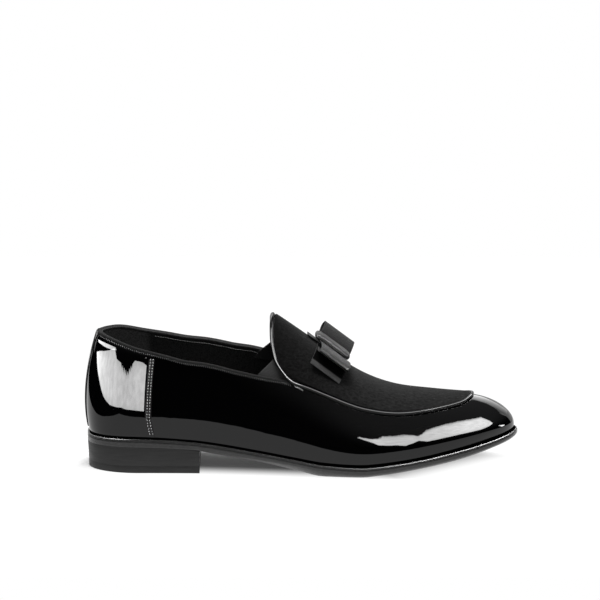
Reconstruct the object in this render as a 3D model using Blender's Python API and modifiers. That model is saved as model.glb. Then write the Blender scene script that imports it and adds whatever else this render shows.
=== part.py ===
"""A right-foot dress loafer: patent upper, nap-faced apron that runs up into the tongue, ribbon bow.

Sizes are in millimetres and the model is in metres. +X is the toe, +Y the medial side, +Z up, and the
shoe stands on z = 0. Every piece of the upper comes from one surface, the last: rays run from the outline
round the foot to the ridge line over it, and each ray is a superelliptic arch.
"""

import math
from bisect import bisect_right
from collections import namedtuple
from functools import lru_cache

import bmesh
import bpy
import numpy as np

MM = 0.001
GAP = 0.3

# The last: its length, and how its rays close round the heel and the toe
BACK_X = -150.0
TIP_X = 148.4
HEEL_ROUND_X = -112.0
TOE_ROUND_X = 45.0
TIP_SWING = 3.0
HEEL_FAN_X = -70.0
TOE_FAN_X = 60.0
HEEL_SPINE_X = -110.0
TOE_SPINE_X = 112.0
TUCK_POWER = 6.0

# Wall and overlay thicknesses
WALL = 2.0
APRON_THICK = 1.3
COUNTER_THICK = 0.9
BACKSTAY_THICK = 0.8
GORE_THICK = 0.8
BINDING_THICK = 0.7
BINDING_LEG = 3.2
BINDING_CAP = 0.9
BINDING_ROUND = 0.4
PIPING_RADIUS = 1.1
PIPING_SLIP_START = 0.1
PIPING_SLIP_LENGTH = 0.3
PIPING_SINK = 0.75
NOTCH_ROOM = 0.8
NOTCH_ROOM_LENGTH = 16.0
TONGUE_ROOM = 2.3
MOST_ROOM = 0.9
INSOLE_THICK = 2.6
INSOLE_CLEAR = 0.9
INSOLE_ROUND = 0.8
WELT_THICK = 1.8
WELT_ROUND = 0.5
SOLE_GROOVE = 0.4

# Half widths of the last at its fullest, how far the wall tucks in to the sole, and the arch's two powers
Last = namedtuple("Last", "x lateral medial lateral_tuck medial_tuck ridge_y ridge_z high_power wide_power")
LAST = [
    Last(-150, 35.0, 34.0, 4.4, 4.4, 0.0, 134.0, 2.00, 1.68),
    Last(-112, 35.0, 34.0, 3.4, 3.4, 0.0, 134.0, 2.00, 1.70),
    Last(-70, 35.8, 33.2, 3.4, 4.2, 0.8, 130.0, 2.00, 1.66),
    Last(-45, 37.5, 32.8, 3.2, 4.8, 1.6, 120.5, 1.98, 1.68),
    Last(-20, 41.0, 34.5, 3.0, 4.6, 2.6, 104.8, 1.95, 1.75),
    Last(2, 45.8, 38.8, 2.6, 3.4, 3.4, 89.2, 1.92, 1.84),
    Last(39, 50.6, 45.6, 1.8, 1.6, 4.0, 62.6, 1.92, 1.92),
    Last(47, 50.8, 46.6, 1.6, 1.4, 4.0, 58.6, 1.94, 1.96),
    Last(56, 50.8, 46.8, 1.4, 1.2, 3.8, 55.0, 1.96, 2.00),
    Last(68, 50.8, 46.8, 1.2, 1.0, 3.5, 51.8, 2.00, 2.00),
    Last(81, 50.8, 46.8, 1.0, 1.0, 3.1, 50.1, 2.00, 2.00),
    Last(112, 50.8, 46.8, 0.8, 0.8, 2.6, 48.0, 2.00, 1.86),
    Last(149, 50.8, 46.8, 0.8, 0.8, 2.6, 48.0, 2.00, 1.76),
]

# Heights of the collar's edge from the heel to the notch beside the tongue
Collar = namedtuple("Collar", "x lateral_z medial_z")
COLLAR = [
    Collar(BACK_X, 92.5, 92.5),
    Collar(-137, 90.4, 92.2),
    Collar(-112, 84.6, 88.0),
    Collar(-77, 76.6, 82.7),
    Collar(-49, 71.8, 78.3),
    Collar(-29, 67.3, 75.2),
    Collar(-6, 62.9, 68.0),
]
NOTCH_X = COLLAR[-1].x
BINDING_END_X = NOTCH_X - 5.5

# The apron's seam, as its plan distance from the ridge line along each ray
Seam = namedtuple("Seam", "x lateral_out medial_out")
SEAM = [
    Seam(7, 37.0, 25.2),
    Seam(29, 38.6, 28.5),
    Seam(50, 38.3, 29.5),
    Seam(68, 36.0, 28.5),
    Seam(86, 31.2, 25.5),
    Seam(104, 24.4, 20.5),
    Seam(121, 17.6, 16.0),
    Seam(133, 11.6, 11.2),
    Seam(TIP_X, 6.5, 6.5),
]

# The tongue's free edge: share of the way from the notch up to the ridge
TongueEdge = namedtuple("TongueEdge", "x edge_x")
TONGUE_EDGE = [
    TongueEdge(0.00, -6.0),
    TongueEdge(0.04, -11.8),
    TongueEdge(0.14, -17.8),
    TongueEdge(0.34, -19.6),
    TongueEdge(0.60, -19.8),
    TongueEdge(1.00, -18.0),
]

# The flat under the ball, level with the heel
FLAT_START_X = 15.0
FLAT_END_X = 42.0

# The sole's side: feather line, how far the welt stands out, the band's lower line, bevel and bottom
Sole = namedtuple("Sole", "x feather_z margin band_z bevel bottom_z")
SOLE = [
    Sole(-148, 24.6, 2.4, 18.6, 0.4, 18.2),
    Sole(-118, 25.4, 1.9, 18.9, 0.4, 18.5),
    Sole(-75, 23.2, 1.6, 17.1, 0.6, 16.7),
    Sole(-64, 21.9, 1.7, 15.2, 5.0, 14.0),
    Sole(-28, 16.3, 2.0, 10.3, 9.0, 7.4),
    Sole(-2, 12.2, 2.2, 7.0, 7.0, 2.7),
    Sole(FLAT_START_X, 9.6, 2.4, 4.2, 4.6, 0.0),
    Sole(FLAT_END_X, 8.4, 2.5, 2.5, 4.0, 0.0),
    Sole(52, 9.2, 2.5, 3.4, 4.0, 1.0),
    Sole(77, 12.4, 2.4, 6.8, 3.8, 4.6),
    Sole(110, 18.2, 2.3, 12.6, 3.2, 10.4),
    Sole(134, 23.0, 2.3, 18.4, 2.6, 16.8),
    Sole(150, 26.2, 2.3, 22.0, 2.0, 20.4),
]

# The heel
BREAST_X = -70.0
HEEL_SET_IN = 0.4
HEEL_TAPER = 0.8
LIFT_THICK = 5.0
LIFT_ROUND = 0.8
HEEL_COLUMNS_ROUND = 14

# The counter's front edge and the backstay's half width up the back
COUNTER_FRONT_X = -105.0
BackStay = namedtuple("BackStay", "x half_width")
BACKSTAY = [
    BackStay(26, 3.6),
    BackStay(60, 3.0),
    BackStay(80, 3.2),
    BackStay(88, 5.4),
    BackStay(93, 6.6),
]
BACKSTAY_START = 0.02
SHORT_WALK = 0.02

# The elastic beside the tongue: ends of its lower and upper edge, as x and height over the notch
GORE_LOWER = ((-33.0, 1.0), (-3.0, -4.0))
GORE_UPPER = ((-29.5, 6.4), (-17.0, 18.0))
GORE_CELLS = (6, 4)

# The bow, square to the ridge's slope: along it, across it and out of it
BOW_X = 19.0
RIBBON_WIDTH = 26.0
RIBBON_THICK = 0.9
KNOT_SIZE = (28.0, 16.0, 5.2)
KNOT_OUT = 4.3
KNOT_BEVEL = 2.0
LOOP_FLATNESS = 0.7
LOOP_PINCH = 0.3
BASE_SIZE = (36.0, 9.0, 0.7)
BASE_PLACE = (-4.0, 1.0)
BASE_BEVEL = 0.25
BOW_SLOPE_SPAN = 4.0
Loop = namedtuple("Loop", "name side far near_out far_out half_height droop")
LOOPS = [
    Loop("bow_upper_loop_lateral", -1, 26.0, 4.8, 4.2, 2.9, 1.0),
    Loop("bow_upper_loop_medial", 1, 25.0, 4.8, 9.6, 2.9, 1.0),
    Loop("bow_lower_loop_lateral", -1, 29.0, 1.4, -6.9, 1.3, 1.8),
    Loop("bow_lower_loop_medial", 1, 27.0, 1.4, -6.9, 1.3, 1.8),
]

# How finely the surfaces are divided
HEEL_COLUMNS = 15
FRONT_COLUMNS = 17
WALL_ROWS = 8
TOP_ROWS = 6
TONGUE_COLUMNS = 4
ARCH_CROWDING = 1.6
SOLE_COLUMNS = 32
COLUMN_ROOM = 0.4
SHARP_DEGREES = 40
BINDING_COLUMNS = 20
LOOP_POINTS = 20
PIPING_STEP = 6.0
SEAM_POINTS = 60
TONGUE_POINTS = 24

LATERAL, MEDIAL = -1, 1
SIDE_NAMES = {LATERAL: "lateral", MEDIAL: "medial"}

Look = namedtuple("Look", "colour roughness")
PATENT = Look((0.006, 0.006, 0.007), 0.05)
NAP = Look((0.012, 0.012, 0.013), 0.95)
RIBBON = Look((0.02, 0.02, 0.022), 0.6)
TAPE = Look((0.03, 0.03, 0.032), 0.7)
SOLE_EDGE = Look((0.03, 0.03, 0.032), 0.4)
BOARD = Look((0.015, 0.015, 0.016), 0.7)


def curve_through(xs, ys, x):
    """A smooth curve through the points that never overshoots them."""
    if x <= xs[0]:
        return ys[0]
    if x >= xs[-1]:
        return ys[-1]
    i = bisect_right(xs, x) - 1
    steps = [b - a for a, b in zip(xs, xs[1:])]
    slopes = [(b - a) / step for a, b, step in zip(ys, ys[1:], steps)]

    def tangent(k):
        if k in (0, len(xs) - 1):
            return slopes[min(k, len(slopes) - 1)]
        before, after = slopes[k - 1], slopes[k]
        return 0.0 if before * after <= 0 else 2 * before * after / (before + after)

    s = (x - xs[i]) / steps[i]
    return (
        ys[i] * (1 + 2 * s) * (1 - s) ** 2
        + ys[i + 1] * s * s * (3 - 2 * s)
        + steps[i] * (tangent(i) * s * (1 - s) ** 2 - tangent(i + 1) * s * s * (1 - s))
    )


def along(table, column, x):
    """A table's column at x."""
    return curve_through([row.x for row in table], [getattr(row, column) for row in table], x)


def walk_of(x):
    """The walk, 0 at the centre back and 1 at the toe tip, that reaches x on the outline."""
    middle, half = (TIP_X + BACK_X) / 2, (TIP_X - BACK_X) / 2
    return math.acos(max(-1.0, min(1.0, (middle - x) / half))) / math.pi


def closing(x):
    """How the outline's half width closes at the heel and the toe, as quarter ellipses."""
    if x < HEEL_ROUND_X:
        share = (HEEL_ROUND_X - x) / (HEEL_ROUND_X - BACK_X)
    elif x > TOE_ROUND_X:
        share = (x - TOE_ROUND_X) / (TIP_X - TOE_ROUND_X)
    else:
        return 1.0
    return math.sqrt(max(0.0, 1 - share * share))


def spine_x(x):
    """Where on the ridge line the ray from outline x ends: rays fan out round the heel and the toe."""
    for fan, end, spine in ((HEEL_FAN_X, BACK_X, HEEL_SPINE_X), (TOE_FAN_X, TIP_X, TOE_SPINE_X)):
        reach = end - fan
        along_fan = x - fan
        if along_fan * reach > 0:
            return x - (end - spine) * (along_fan / reach) ** 2
    return x


Ray = namedtuple("Ray", "x start aim reach tuck feather_z ridge_z high_power wide_power")


@lru_cache(maxsize=None)
def ray_at(walk, side):
    middle, half = (TIP_X + BACK_X) / 2, (TIP_X - BACK_X) / 2
    x = middle - half * math.cos(math.pi * walk)
    name = SIDE_NAMES[side]
    swing = TIP_SWING * max(0.0, (x - TOE_ROUND_X) / (TIP_X - TOE_ROUND_X)) ** 2
    outline = np.array([x, swing + side * along(LAST, name, x) * closing(x)])
    start_x = spine_x(x)
    start = np.array([start_x, along(LAST, "ridge_y", start_x)])
    reach = float(np.linalg.norm(outline - start))
    aim = (outline - start) / reach
    tuck = along(LAST, name + "_tuck", x)
    feather_x = start[0] + aim[0] * (reach - tuck)
    return Ray(
        x, start, aim, reach, tuck,
        along(SOLE, "feather_z", feather_x),
        along(LAST, "ridge_z", start_x),
        along(LAST, "high_power", x),
        along(LAST, "wide_power", x),
    )


def bare(walk, side, angle):
    """The last's surface: angle 0 at the feather line, a right angle at the ridge, more on the other side."""
    if angle > math.pi / 2:
        side, angle = -side, math.pi - angle
    if walk < 0:
        side, walk = -side, -walk
    if walk > 1:
        side, walk = -side, 2 - walk
    ray = ray_at(walk, side)
    rise = max(0.0, math.sin(angle)) ** (2 / ray.high_power)
    out = ray.reach * max(0.0, math.cos(angle)) ** (2 / ray.wide_power)
    out -= ray.tuck * (1 - rise) ** TUCK_POWER
    plan = ray.start + ray.aim * out
    return np.array([plan[0], plan[1], ray.feather_z + rise * (ray.ridge_z - ray.feather_z)])


def normal(walk, side, angle):
    """Outward normal of the last."""
    step = 0.004
    angle = min(max(angle, 0.02), math.pi / 2 - 0.05)
    over = bare(walk + step, side, angle) - bare(walk - step, side, angle)
    up = bare(walk, side, angle + step) - bare(walk, side, angle - step)
    across = -side * np.cross(over, up)
    length = np.linalg.norm(across)
    return across / length


def ridge_normal(walk):
    """Outward normal on the ridge, level across it."""
    both = normal(walk, LATERAL, math.pi / 2) + normal(walk, MEDIAL, math.pi / 2)
    return both / np.linalg.norm(both)


@lru_cache(maxsize=None)
def surface(walk, side, angle, offset=0.0):
    """A point at this distance outside the last."""
    if offset == 0.0:
        return bare(walk, side, angle)
    on_ridge = angle > math.pi / 2 - 1e-6
    outward = ridge_normal(walk) if on_ridge else normal(walk, side, angle)
    return bare(walk, side, angle) + offset * outward


def angle_at_height(walk, side, z):
    ray = ray_at(walk, side)
    rise = (z - ray.feather_z) / (ray.ridge_z - ray.feather_z)
    return math.asin(min(1.0, max(0.0, rise)) ** (ray.high_power / 2))


def angle_at_distance(walk, side, out):
    ray = ray_at(walk, side)
    return math.acos(min(1.0, out / ray.reach) ** (ray.wide_power / 2))


@lru_cache(maxsize=None)
def edge_rows(side):
    """Angles of the collar's edge and then of the apron's seam, one line from heel to toe."""
    name = SIDE_NAMES[side]
    collar = [(row.x, angle_at_height(walk_of(row.x), side, getattr(row, name + "_z"))) for row in COLLAR]
    seam = [(row.x, angle_at_distance(walk_of(row.x), side, getattr(row, name + "_out"))) for row in SEAM]
    return collar + seam


def edge_angle(walk, side):
    rows = edge_rows(side)
    return curve_through([row[0] for row in rows], [row[1] for row in rows], ray_at(walk, side).x)


def girth(walk, side, first, last, parts=8):
    """Length of the arch between two angles."""
    points = [bare(walk, side, first + (last - first) * k / parts) for k in range(parts + 1)]
    return sum(float(np.linalg.norm(b - a)) for a, b in zip(points, points[1:]))


def shares(count, first=0.0, last=1.0):
    return [first + (last - first) * k / count for k in range(count + 1)]


def arch_shares(first=0.0):
    """Shares of the way from seam to ridge, closer together near the seam."""
    return [first + (1 - first) * s**ARCH_CROWDING for s in shares(TOP_ROWS)]


def rear_walks():
    return shares(HEEL_COLUMNS, 0.0, walk_of(NOTCH_X))


def front_walks():
    return shares(FRONT_COLUMNS, walk_of(NOTCH_X), 1.0)


def wall_grid(side, offset):
    """Wall from the feather line up to the collar's edge and the apron's seam."""
    walks = rear_walks()[:-1] + front_walks()
    return [[surface(w, side, edge_angle(w, side) * s, offset) for s in shares(WALL_ROWS)] for w in walks]


def notch_widening(x):
    """The cord turns sharply at the notch, so the apron keeps further off it there."""
    return 1 + NOTCH_ROOM * max(0.0, 1 - (x - NOTCH_X) / NOTCH_ROOM_LENGTH)


def top_grid(side, offset, room=0.0):
    """Top of the vamp from the seam to the ridge, kept clear of the seam by room."""
    grid = []
    for walk in front_walks():
        seam = edge_angle(walk, side)
        rise = math.pi / 2 - seam
        wider = room * notch_widening(ray_at(walk, side).x)
        start = min(MOST_ROOM, wider / girth(walk, side, seam, math.pi / 2))
        grid.append([surface(walk, side, seam + rise * up, offset) for up in arch_shares(start)])
    return grid


def tongue_point(side, share_up, x, offset):
    notch = walk_of(NOTCH_X)
    seam = edge_angle(notch, side)
    return surface(walk_of(x), side, seam + (math.pi / 2 - seam) * share_up, offset)


def tongue_grid(side, offset, room=0.0):
    """Tongue behind the notch, kept clear of its free edge by room."""
    notch = walk_of(NOTCH_X)
    seam = edge_angle(notch, side)
    start = room * notch_widening(NOTCH_X) / girth(notch, side, seam, math.pi / 2)
    grid = []
    for back in shares(TONGUE_COLUMNS):
        row = []
        for up in arch_shares(start):
            edge = min(NOTCH_X, along(TONGUE_EDGE, "edge_x", up) + TONGUE_ROOM * room)
            row.append(tongue_point(side, up, NOTCH_X + back * (edge - NOTCH_X), offset))
        grid.append(row)
    return grid


def add_grid(mesh, grid, inner=None):
    """Quads over a grid of points, each vertex keeping its partner on the inner face."""
    layer = mesh.verts.layers.float_vector.get("inner") or mesh.verts.layers.float_vector.new("inner")
    made = []
    for i, row in enumerate(grid):
        made.append([])
        for j, point in enumerate(row):
            vert = mesh.verts.new([c * MM for c in point])
            if inner is not None:
                vert[layer] = [c * MM for c in inner[i][j]]
            made[-1].append(vert)
    for a, b in zip(made, made[1:]):
        for k in range(len(a) - 1):
            mesh.faces.new((a[k], b[k], b[k + 1], a[k + 1]))


def thicken(mesh):
    """The inner face and the rim of an open surface whose vertices hold their inner partners."""
    layer = mesh.verts.layers.float_vector["inner"]
    faces = list(mesh.faces)
    rim = [edge for edge in mesh.edges if edge.is_boundary]
    partner = {vert: mesh.verts.new(vert[layer]) for vert in list(mesh.verts)}
    for face in faces:
        mesh.faces.new([partner[vert] for vert in reversed(face.verts)])
    for edge in rim:
        a, b = edge.verts
        mesh.faces.new((b, a, partner[a], partner[b]))


def finished(name, mesh, look):
    """An object of the closed mesh, with its material, in the shoe's collection."""
    bmesh.ops.holes_fill(mesh, edges=mesh.edges, sides=0)
    bmesh.ops.recalc_face_normals(mesh, faces=mesh.faces)
    bmesh.ops.triangulate(mesh, faces=mesh.faces)
    data = bpy.data.meshes.new(name)
    mesh.to_mesh(data)
    mesh.free()
    data.shade_smooth()
    data.set_sharp_from_angle(angle=math.radians(SHARP_DEGREES))
    return placed(name, data, look)


def placed(name, data, look):
    material = bpy.data.materials.new(name)
    material.use_nodes = True
    shader = material.node_tree.nodes["Principled BSDF"]
    shader.inputs["Base Color"].default_value = (*look.colour, 1.0)
    shader.inputs["Roughness"].default_value = look.roughness
    data.materials.append(material)
    piece = bpy.data.objects.new(name, data)
    bpy.data.collections["loafer"].objects.link(piece)
    return piece


def shell(name, pairs, look):
    """A wall between the outer and inner grids of each pair, joined where the grids share an edge."""
    mesh = bmesh.new()
    for outer, inner in pairs:
        add_grid(mesh, outer, inner)
    bmesh.ops.remove_doubles(mesh, verts=mesh.verts, dist=1e-6)
    thicken(mesh)
    return finished(name, mesh, look)


def upper():
    pairs = []
    for side in (LATERAL, MEDIAL):
        for grid in (wall_grid, top_grid, tongue_grid):
            pairs.append((grid(side, 0.0), grid(side, -WALL)))
    return shell("upper", pairs, PATENT)


def apron():
    room = PIPING_RADIUS + GAP
    pairs = []
    for side in (LATERAL, MEDIAL):
        for grid in (top_grid, tongue_grid):
            pairs.append((grid(side, GAP + APRON_THICK, room), grid(side, GAP, room)))
    return shell("apron", pairs, NAP)


def counter_walks():
    """The upper's own columns as far as the counter's front edge."""
    front = walk_of(COUNTER_FRONT_X)
    return [walk for walk in rear_walks() if walk < front - 0.005] + [front]


def counter():
    """Panel round the heel, below the binding."""
    top_room = BINDING_LEG + 2 * GAP
    pairs = []
    for side in (LATERAL, MEDIAL):
        grids = []
        for offset in (GAP + COUNTER_THICK, GAP):
            grid = []
            for walk in counter_walks():
                edge = edge_angle(walk, side)
                top = edge * (1 - top_room / girth(walk, side, 0.0, edge))
                grid.append([surface(walk, side, top * s, offset) for s in shares(WALL_ROWS)])
            grids.append(grid)
        pairs.append(grids)
    return shell("counter", pairs, PATENT)


def backstay():
    """Strip up the centre back, over the counter and the binding."""
    low = 2 * GAP + COUNTER_THICK
    edge = edge_angle(0.0, LATERAL)
    pairs = []
    for side in (LATERAL, MEDIAL):
        grids = []
        for offset in (low + BACKSTAY_THICK, low):
            grid = []
            for across in shares(3):
                row = []
                for up in shares(WALL_ROWS, BACKSTAY_START, 1.0):
                    centre = surface(0.0, side, edge * up)
                    beside = np.linalg.norm(surface(SHORT_WALK, side, edge * up) - centre)
                    walk = SHORT_WALK * along(BACKSTAY, "half_width", centre[2]) / beside
                    row.append(surface(walk * across, side, edge * up, offset))
                grid.append(row)
            grids.append(grid)
        pairs.append(grids)
    return shell("backstay", pairs, PATENT)


def gore_point(side, along_share, up_share, offset):
    rear, front = [
        [low + (high - low) * up_share for low, high in zip(GORE_LOWER[end], GORE_UPPER[end])]
        for end in (0, 1)
    ]
    x, over_notch = [a + (b - a) * along_share for a, b in zip(rear, front)]
    walk = walk_of(x)
    height = getattr(COLLAR[-1], SIDE_NAMES[side] + "_z") + over_notch
    return surface(walk, side, angle_at_height(walk, side, height), offset)


def gore(side):
    """Elastic panel inside the wall, across the notch."""
    outside = -WALL - 2 * GAP
    grids = []
    for offset in (outside, outside - GORE_THICK):
        columns = shares(GORE_CELLS[0])
        rows = shares(GORE_CELLS[1])
        grids.append([[gore_point(side, s, up, offset) for up in rows] for s in columns])
    return shell("gore_" + SIDE_NAMES[side], [grids], TAPE)


def binding():
    """Tape over the collar's edge: a leg down the outside and a cap over the rim."""
    outer = GAP + BINDING_THICK
    top = GAP + BINDING_CAP
    legs = [
        (GAP, -BINDING_LEG),
        (outer, -BINDING_LEG),
        (outer, top - BINDING_ROUND),
        (outer - BINDING_ROUND, top),
        (-WALL, top),
        (-WALL, GAP),
        (GAP, GAP),
    ]
    end_walk = walk_of(BINDING_END_X)
    steps = shares(BINDING_COLUMNS, 0.0, end_walk)
    stops = [(w, LATERAL) for w in reversed(steps)] + [(w, MEDIAL) for w in steps[1:]]
    mesh = bmesh.new()
    rings = []
    for walk, side in stops:
        edge = edge_angle(walk, side)
        rim = surface(walk, side, edge)
        out = normal(walk, side, edge)
        below = surface(walk, side, edge - 0.02)
        up = (rim - below) / np.linalg.norm(rim - below)
        ring = []
        for away, rise in legs:
            if rise < 0:
                down = edge * (1 + rise / girth(walk, side, 0.0, edge))
                ring.append(surface(walk, side, down, away))
            else:
                ring.append(rim + out * away + up * rise)
        rings.append(ring + ring[:1])
    add_grid(mesh, rings)
    bmesh.ops.remove_doubles(mesh, verts=mesh.verts, dist=1e-6)
    return finished("collar_binding", mesh, TAPE)


def piping_route():
    """Closed line round the apron: seam to the notch, over the tongue's free edge and back."""
    clear = GAP + PIPING_RADIUS
    walks = list(reversed(shares(SEAM_POINTS, walk_of(NOTCH_X), 1.0)))
    halves = {}
    for side in (LATERAL, MEDIAL):
        seam = [surface(walk, side, edge_angle(walk, side), clear) for walk in walks]
        tongue = []
        for up in shares(TONGUE_POINTS)[1:]:
            slipped = min(1.0, max(0.0, (up - PIPING_SLIP_START) / PIPING_SLIP_LENGTH))
            edge_x = along(TONGUE_EDGE, "edge_x", up) - clear * slipped
            tongue.append(tongue_point(side, up, edge_x, clear * (1 - PIPING_SINK * slipped)))
        halves[side] = seam + tongue
    return halves[LATERAL] + list(reversed(halves[MEDIAL]))[1:-1]


def evenly(points, step):
    """Points a step apart along a closed line."""
    points = np.array(points + points[:1])
    lengths = np.concatenate([[0.0], np.cumsum(np.linalg.norm(np.diff(points, axis=0), axis=1))])
    count = int(lengths[-1] // step)
    at = np.linspace(0.0, lengths[-1], count, endpoint=False)
    return np.stack([np.interp(at, lengths, points[:, k]) for k in range(3)], axis=1)


def piping():
    route = evenly(piping_route(), PIPING_STEP)
    data = bpy.data.curves.new("piping", "CURVE")
    data.dimensions = "3D"
    data.bevel_depth = PIPING_RADIUS * MM
    data.bevel_resolution = 2
    spline = data.splines.new("POLY")
    spline.points.add(len(route) - 1)
    for point, place in zip(spline.points, route):
        point.co = (*(place * MM), 1.0)
    spline.use_cyclic_u = True
    return placed("piping", data, PATENT)


def plate(name, walks, levels, look, rib=2):
    """A sole layer through levels, top first: how far each stands outside the feather line, and its height."""
    stops = [(w, LATERAL) for w in reversed(walks)] + [(w, MEDIAL) for w in walks[1:]]
    mesh = bmesh.new()
    grid = []
    for walk, side in stops:
        ray = ray_at(walk, side)
        row = []
        for k, (out_of, height_of) in enumerate(levels):
            out = ray.reach - ray.tuck
            out += out_of(ray.start[0] + ray.aim[0] * out)
            first, last = (0, rib) if k == 0 else (rib, 0) if k == len(levels) - 1 else (rib, rib)
            step = 1 if first <= last else -1
            for share in range(first, last + step, step):
                plan = ray.start + ray.aim * out * share / rib
                row.append((plan[0], plan[1], height_of(plan[0])))
        grid.append(row)
    add_grid(mesh, grid)
    bmesh.ops.remove_doubles(mesh, verts=mesh.verts, dist=1e-6)
    return finished(name, mesh, look)


def sole_value(column):
    return lambda x: along(SOLE, column, x)


def under_feather(depth):
    return lambda x: along(SOLE, "feather_z", x) - depth


def margin_less(inset):
    return lambda x: along(SOLE, "margin", x) - inset


def bevelled(x):
    return along(SOLE, "margin", x) - along(SOLE, "bevel", x)


def whole_length():
    """Columns from heel to toe, with one at each end of the flat under the ball."""
    flat = [walk_of(FLAT_START_X), walk_of(FLAT_END_X)]
    clear = COLUMN_ROOM / SOLE_COLUMNS
    others = [walk for walk in shares(SOLE_COLUMNS) if min(abs(walk - end) for end in flat) > clear]
    return sorted(others + flat)


def welt():
    levels = [(margin_less(WELT_ROUND), under_feather(GAP)),
              (margin_less(0.0), under_feather(GAP + WELT_ROUND)),
              (margin_less(0.0), under_feather(GAP + WELT_THICK))]
    return plate("welt", whole_length(), levels, SOLE_EDGE)


def outsole():
    top = 2 * GAP + WELT_THICK
    levels = [(margin_less(SOLE_GROOVE), under_feather(top)),
              (margin_less(0.0), under_feather(top + SOLE_GROOVE)),
              (margin_less(0.0), sole_value("band_z")),
              (bevelled, sole_value("bottom_z"))]
    return plate("outsole", whole_length(), levels, SOLE_EDGE)


def insole():
    edge = -WALL - INSOLE_CLEAR
    levels = [(lambda x: edge - INSOLE_ROUND, under_feather(-INSOLE_THICK)),
              (lambda x: edge, under_feather(INSOLE_ROUND - INSOLE_THICK)),
              (lambda x: edge, under_feather(0.0))]
    return plate("insole", whole_length(), levels, BOARD)


def heel():
    walks = shares(HEEL_COLUMNS_ROUND, 0.0, walk_of(BREAST_X))
    split = LIFT_THICK + GAP
    block = [(margin_less(HEEL_SET_IN), lambda x: along(SOLE, "bottom_z", x) - GAP),
             (margin_less(HEEL_TAPER), lambda x: split)]
    lift = [(margin_less(HEEL_TAPER), lambda x: LIFT_THICK),
            (margin_less(HEEL_TAPER), lambda x: LIFT_ROUND),
            (margin_less(HEEL_TAPER + LIFT_ROUND), lambda x: 0.0)]
    plate("heel_block", walks, block, SOLE_EDGE)
    plate("heel_top_lift", walks, lift, SOLE_EDGE)


def bow_frame():
    """The bow's place on the apron's ridge, and its directions along, across and out of the slope."""
    walk = walk_of(BOW_X)
    ahead, behind = [
        surface(walk_of(BOW_X + step), LATERAL, math.pi / 2) for step in (BOW_SLOPE_SPAN, -BOW_SLOPE_SPAN)
    ]
    forward = (ahead - behind) / np.linalg.norm(ahead - behind)
    across = np.array([0.0, 1.0, 0.0])
    out = np.cross(forward, across)
    place = surface(walk, LATERAL, math.pi / 2) + out * (GAP + APRON_THICK)
    return place, np.array([forward, across, out])


def bow_loop(loop):
    """A ribbon that leaves the knot, folds back at its far end and returns."""
    place, turn = bow_frame()
    near = KNOT_SIZE[1] / 2 + GAP
    turns = np.linspace(0.0, 2 * math.pi, LOOP_POINTS, endpoint=False)

    def ring(inset):
        points = []
        for angle in turns:
            out_share = (1 - math.cos(angle)) / 2
            lean = math.copysign(abs(math.sin(angle)) ** LOOP_FLATNESS, math.sin(angle))
            height = (loop.half_height - inset) * (1 - LOOP_PINCH * (1 - out_share)) * lean
            reach = near + inset + (loop.far - near - 2 * inset) * out_share
            along_loop = (reach - near) / (loop.far - near)
            middle = loop.near_out + (loop.far_out - loop.near_out) * along_loop**loop.droop
            points.append((loop.side * reach, middle + height))
        return points

    outer, inner = ring(0.0), ring(RIBBON_THICK)
    half = RIBBON_WIDTH / 2
    grid = []
    for (y, out), (inner_y, inner_out) in zip(outer + outer[:1], inner + inner[:1]):
        section = [(-half, y, out), (half, y, out), (half, inner_y, inner_out), (-half, inner_y, inner_out)]
        grid.append([place + np.array(point) @ turn for point in section + section[:1]])
    mesh = bmesh.new()
    add_grid(mesh, grid)
    bmesh.ops.remove_doubles(mesh, verts=mesh.verts, dist=1e-6)
    return finished(loop.name, mesh, RIBBON)


def bow_block(name, size, along_slope, out_of_slope, bevel):
    """A rounded block of the bow."""
    place, turn = bow_frame()
    mesh = bmesh.new()
    bmesh.ops.create_cube(mesh, size=1.0)
    for vert in mesh.verts:
        local = np.array(vert.co) * np.array(size) + np.array([along_slope, 0.0, out_of_slope])
        vert.co = (place + local @ turn) * MM
    piece = finished(name, mesh, RIBBON)
    rounding = piece.modifiers.new("rounded edges", "BEVEL")
    rounding.width = bevel * MM
    rounding.segments = 2
    return piece


def bow():
    bow_block("bow_base", BASE_SIZE, *BASE_PLACE, BASE_BEVEL)
    bow_block("bow_knot", KNOT_SIZE, 0.0, KNOT_OUT, KNOT_BEVEL)
    for loop in LOOPS:
        bow_loop(loop)


def clear_scene():
    for item in list(bpy.data.objects):
        bpy.data.objects.remove(item, do_unlink=True)
    shoe = bpy.data.collections.new("loafer")
    bpy.context.scene.collection.children.link(shoe)


def centre_on_origin():
    """Moves the shoe so that the middle of its box stands on the origin."""
    bpy.context.view_layer.update()
    pieces = bpy.data.collections["loafer"].objects
    corners = np.array([corner for piece in pieces for corner in piece.bound_box])
    middle = (corners.min(axis=0) + corners.max(axis=0)) / 2
    for piece in pieces:
        piece.location = (-middle[0], -middle[1], 0.0)


def main():
    clear_scene()
    outsole()
    welt()
    heel()
    insole()
    upper()
    apron()
    piping()
    binding()
    counter()
    backstay()
    gore(LATERAL)
    gore(MEDIAL)
    bow()
    centre_on_origin()


main()
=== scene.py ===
"""Looks of a right-foot dress loafer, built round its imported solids.

The shoe's sizes are in millimetres, and those of the floor, the lights and the room in metres. The last's
functions are those of the solids. Its tables started from theirs and differ by a few millimetres where the
photo asked for it. +X is the toe, +Y the medial side, +Z up.
"""

import math
from bisect import bisect_right
from collections import namedtuple
from functools import lru_cache

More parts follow.
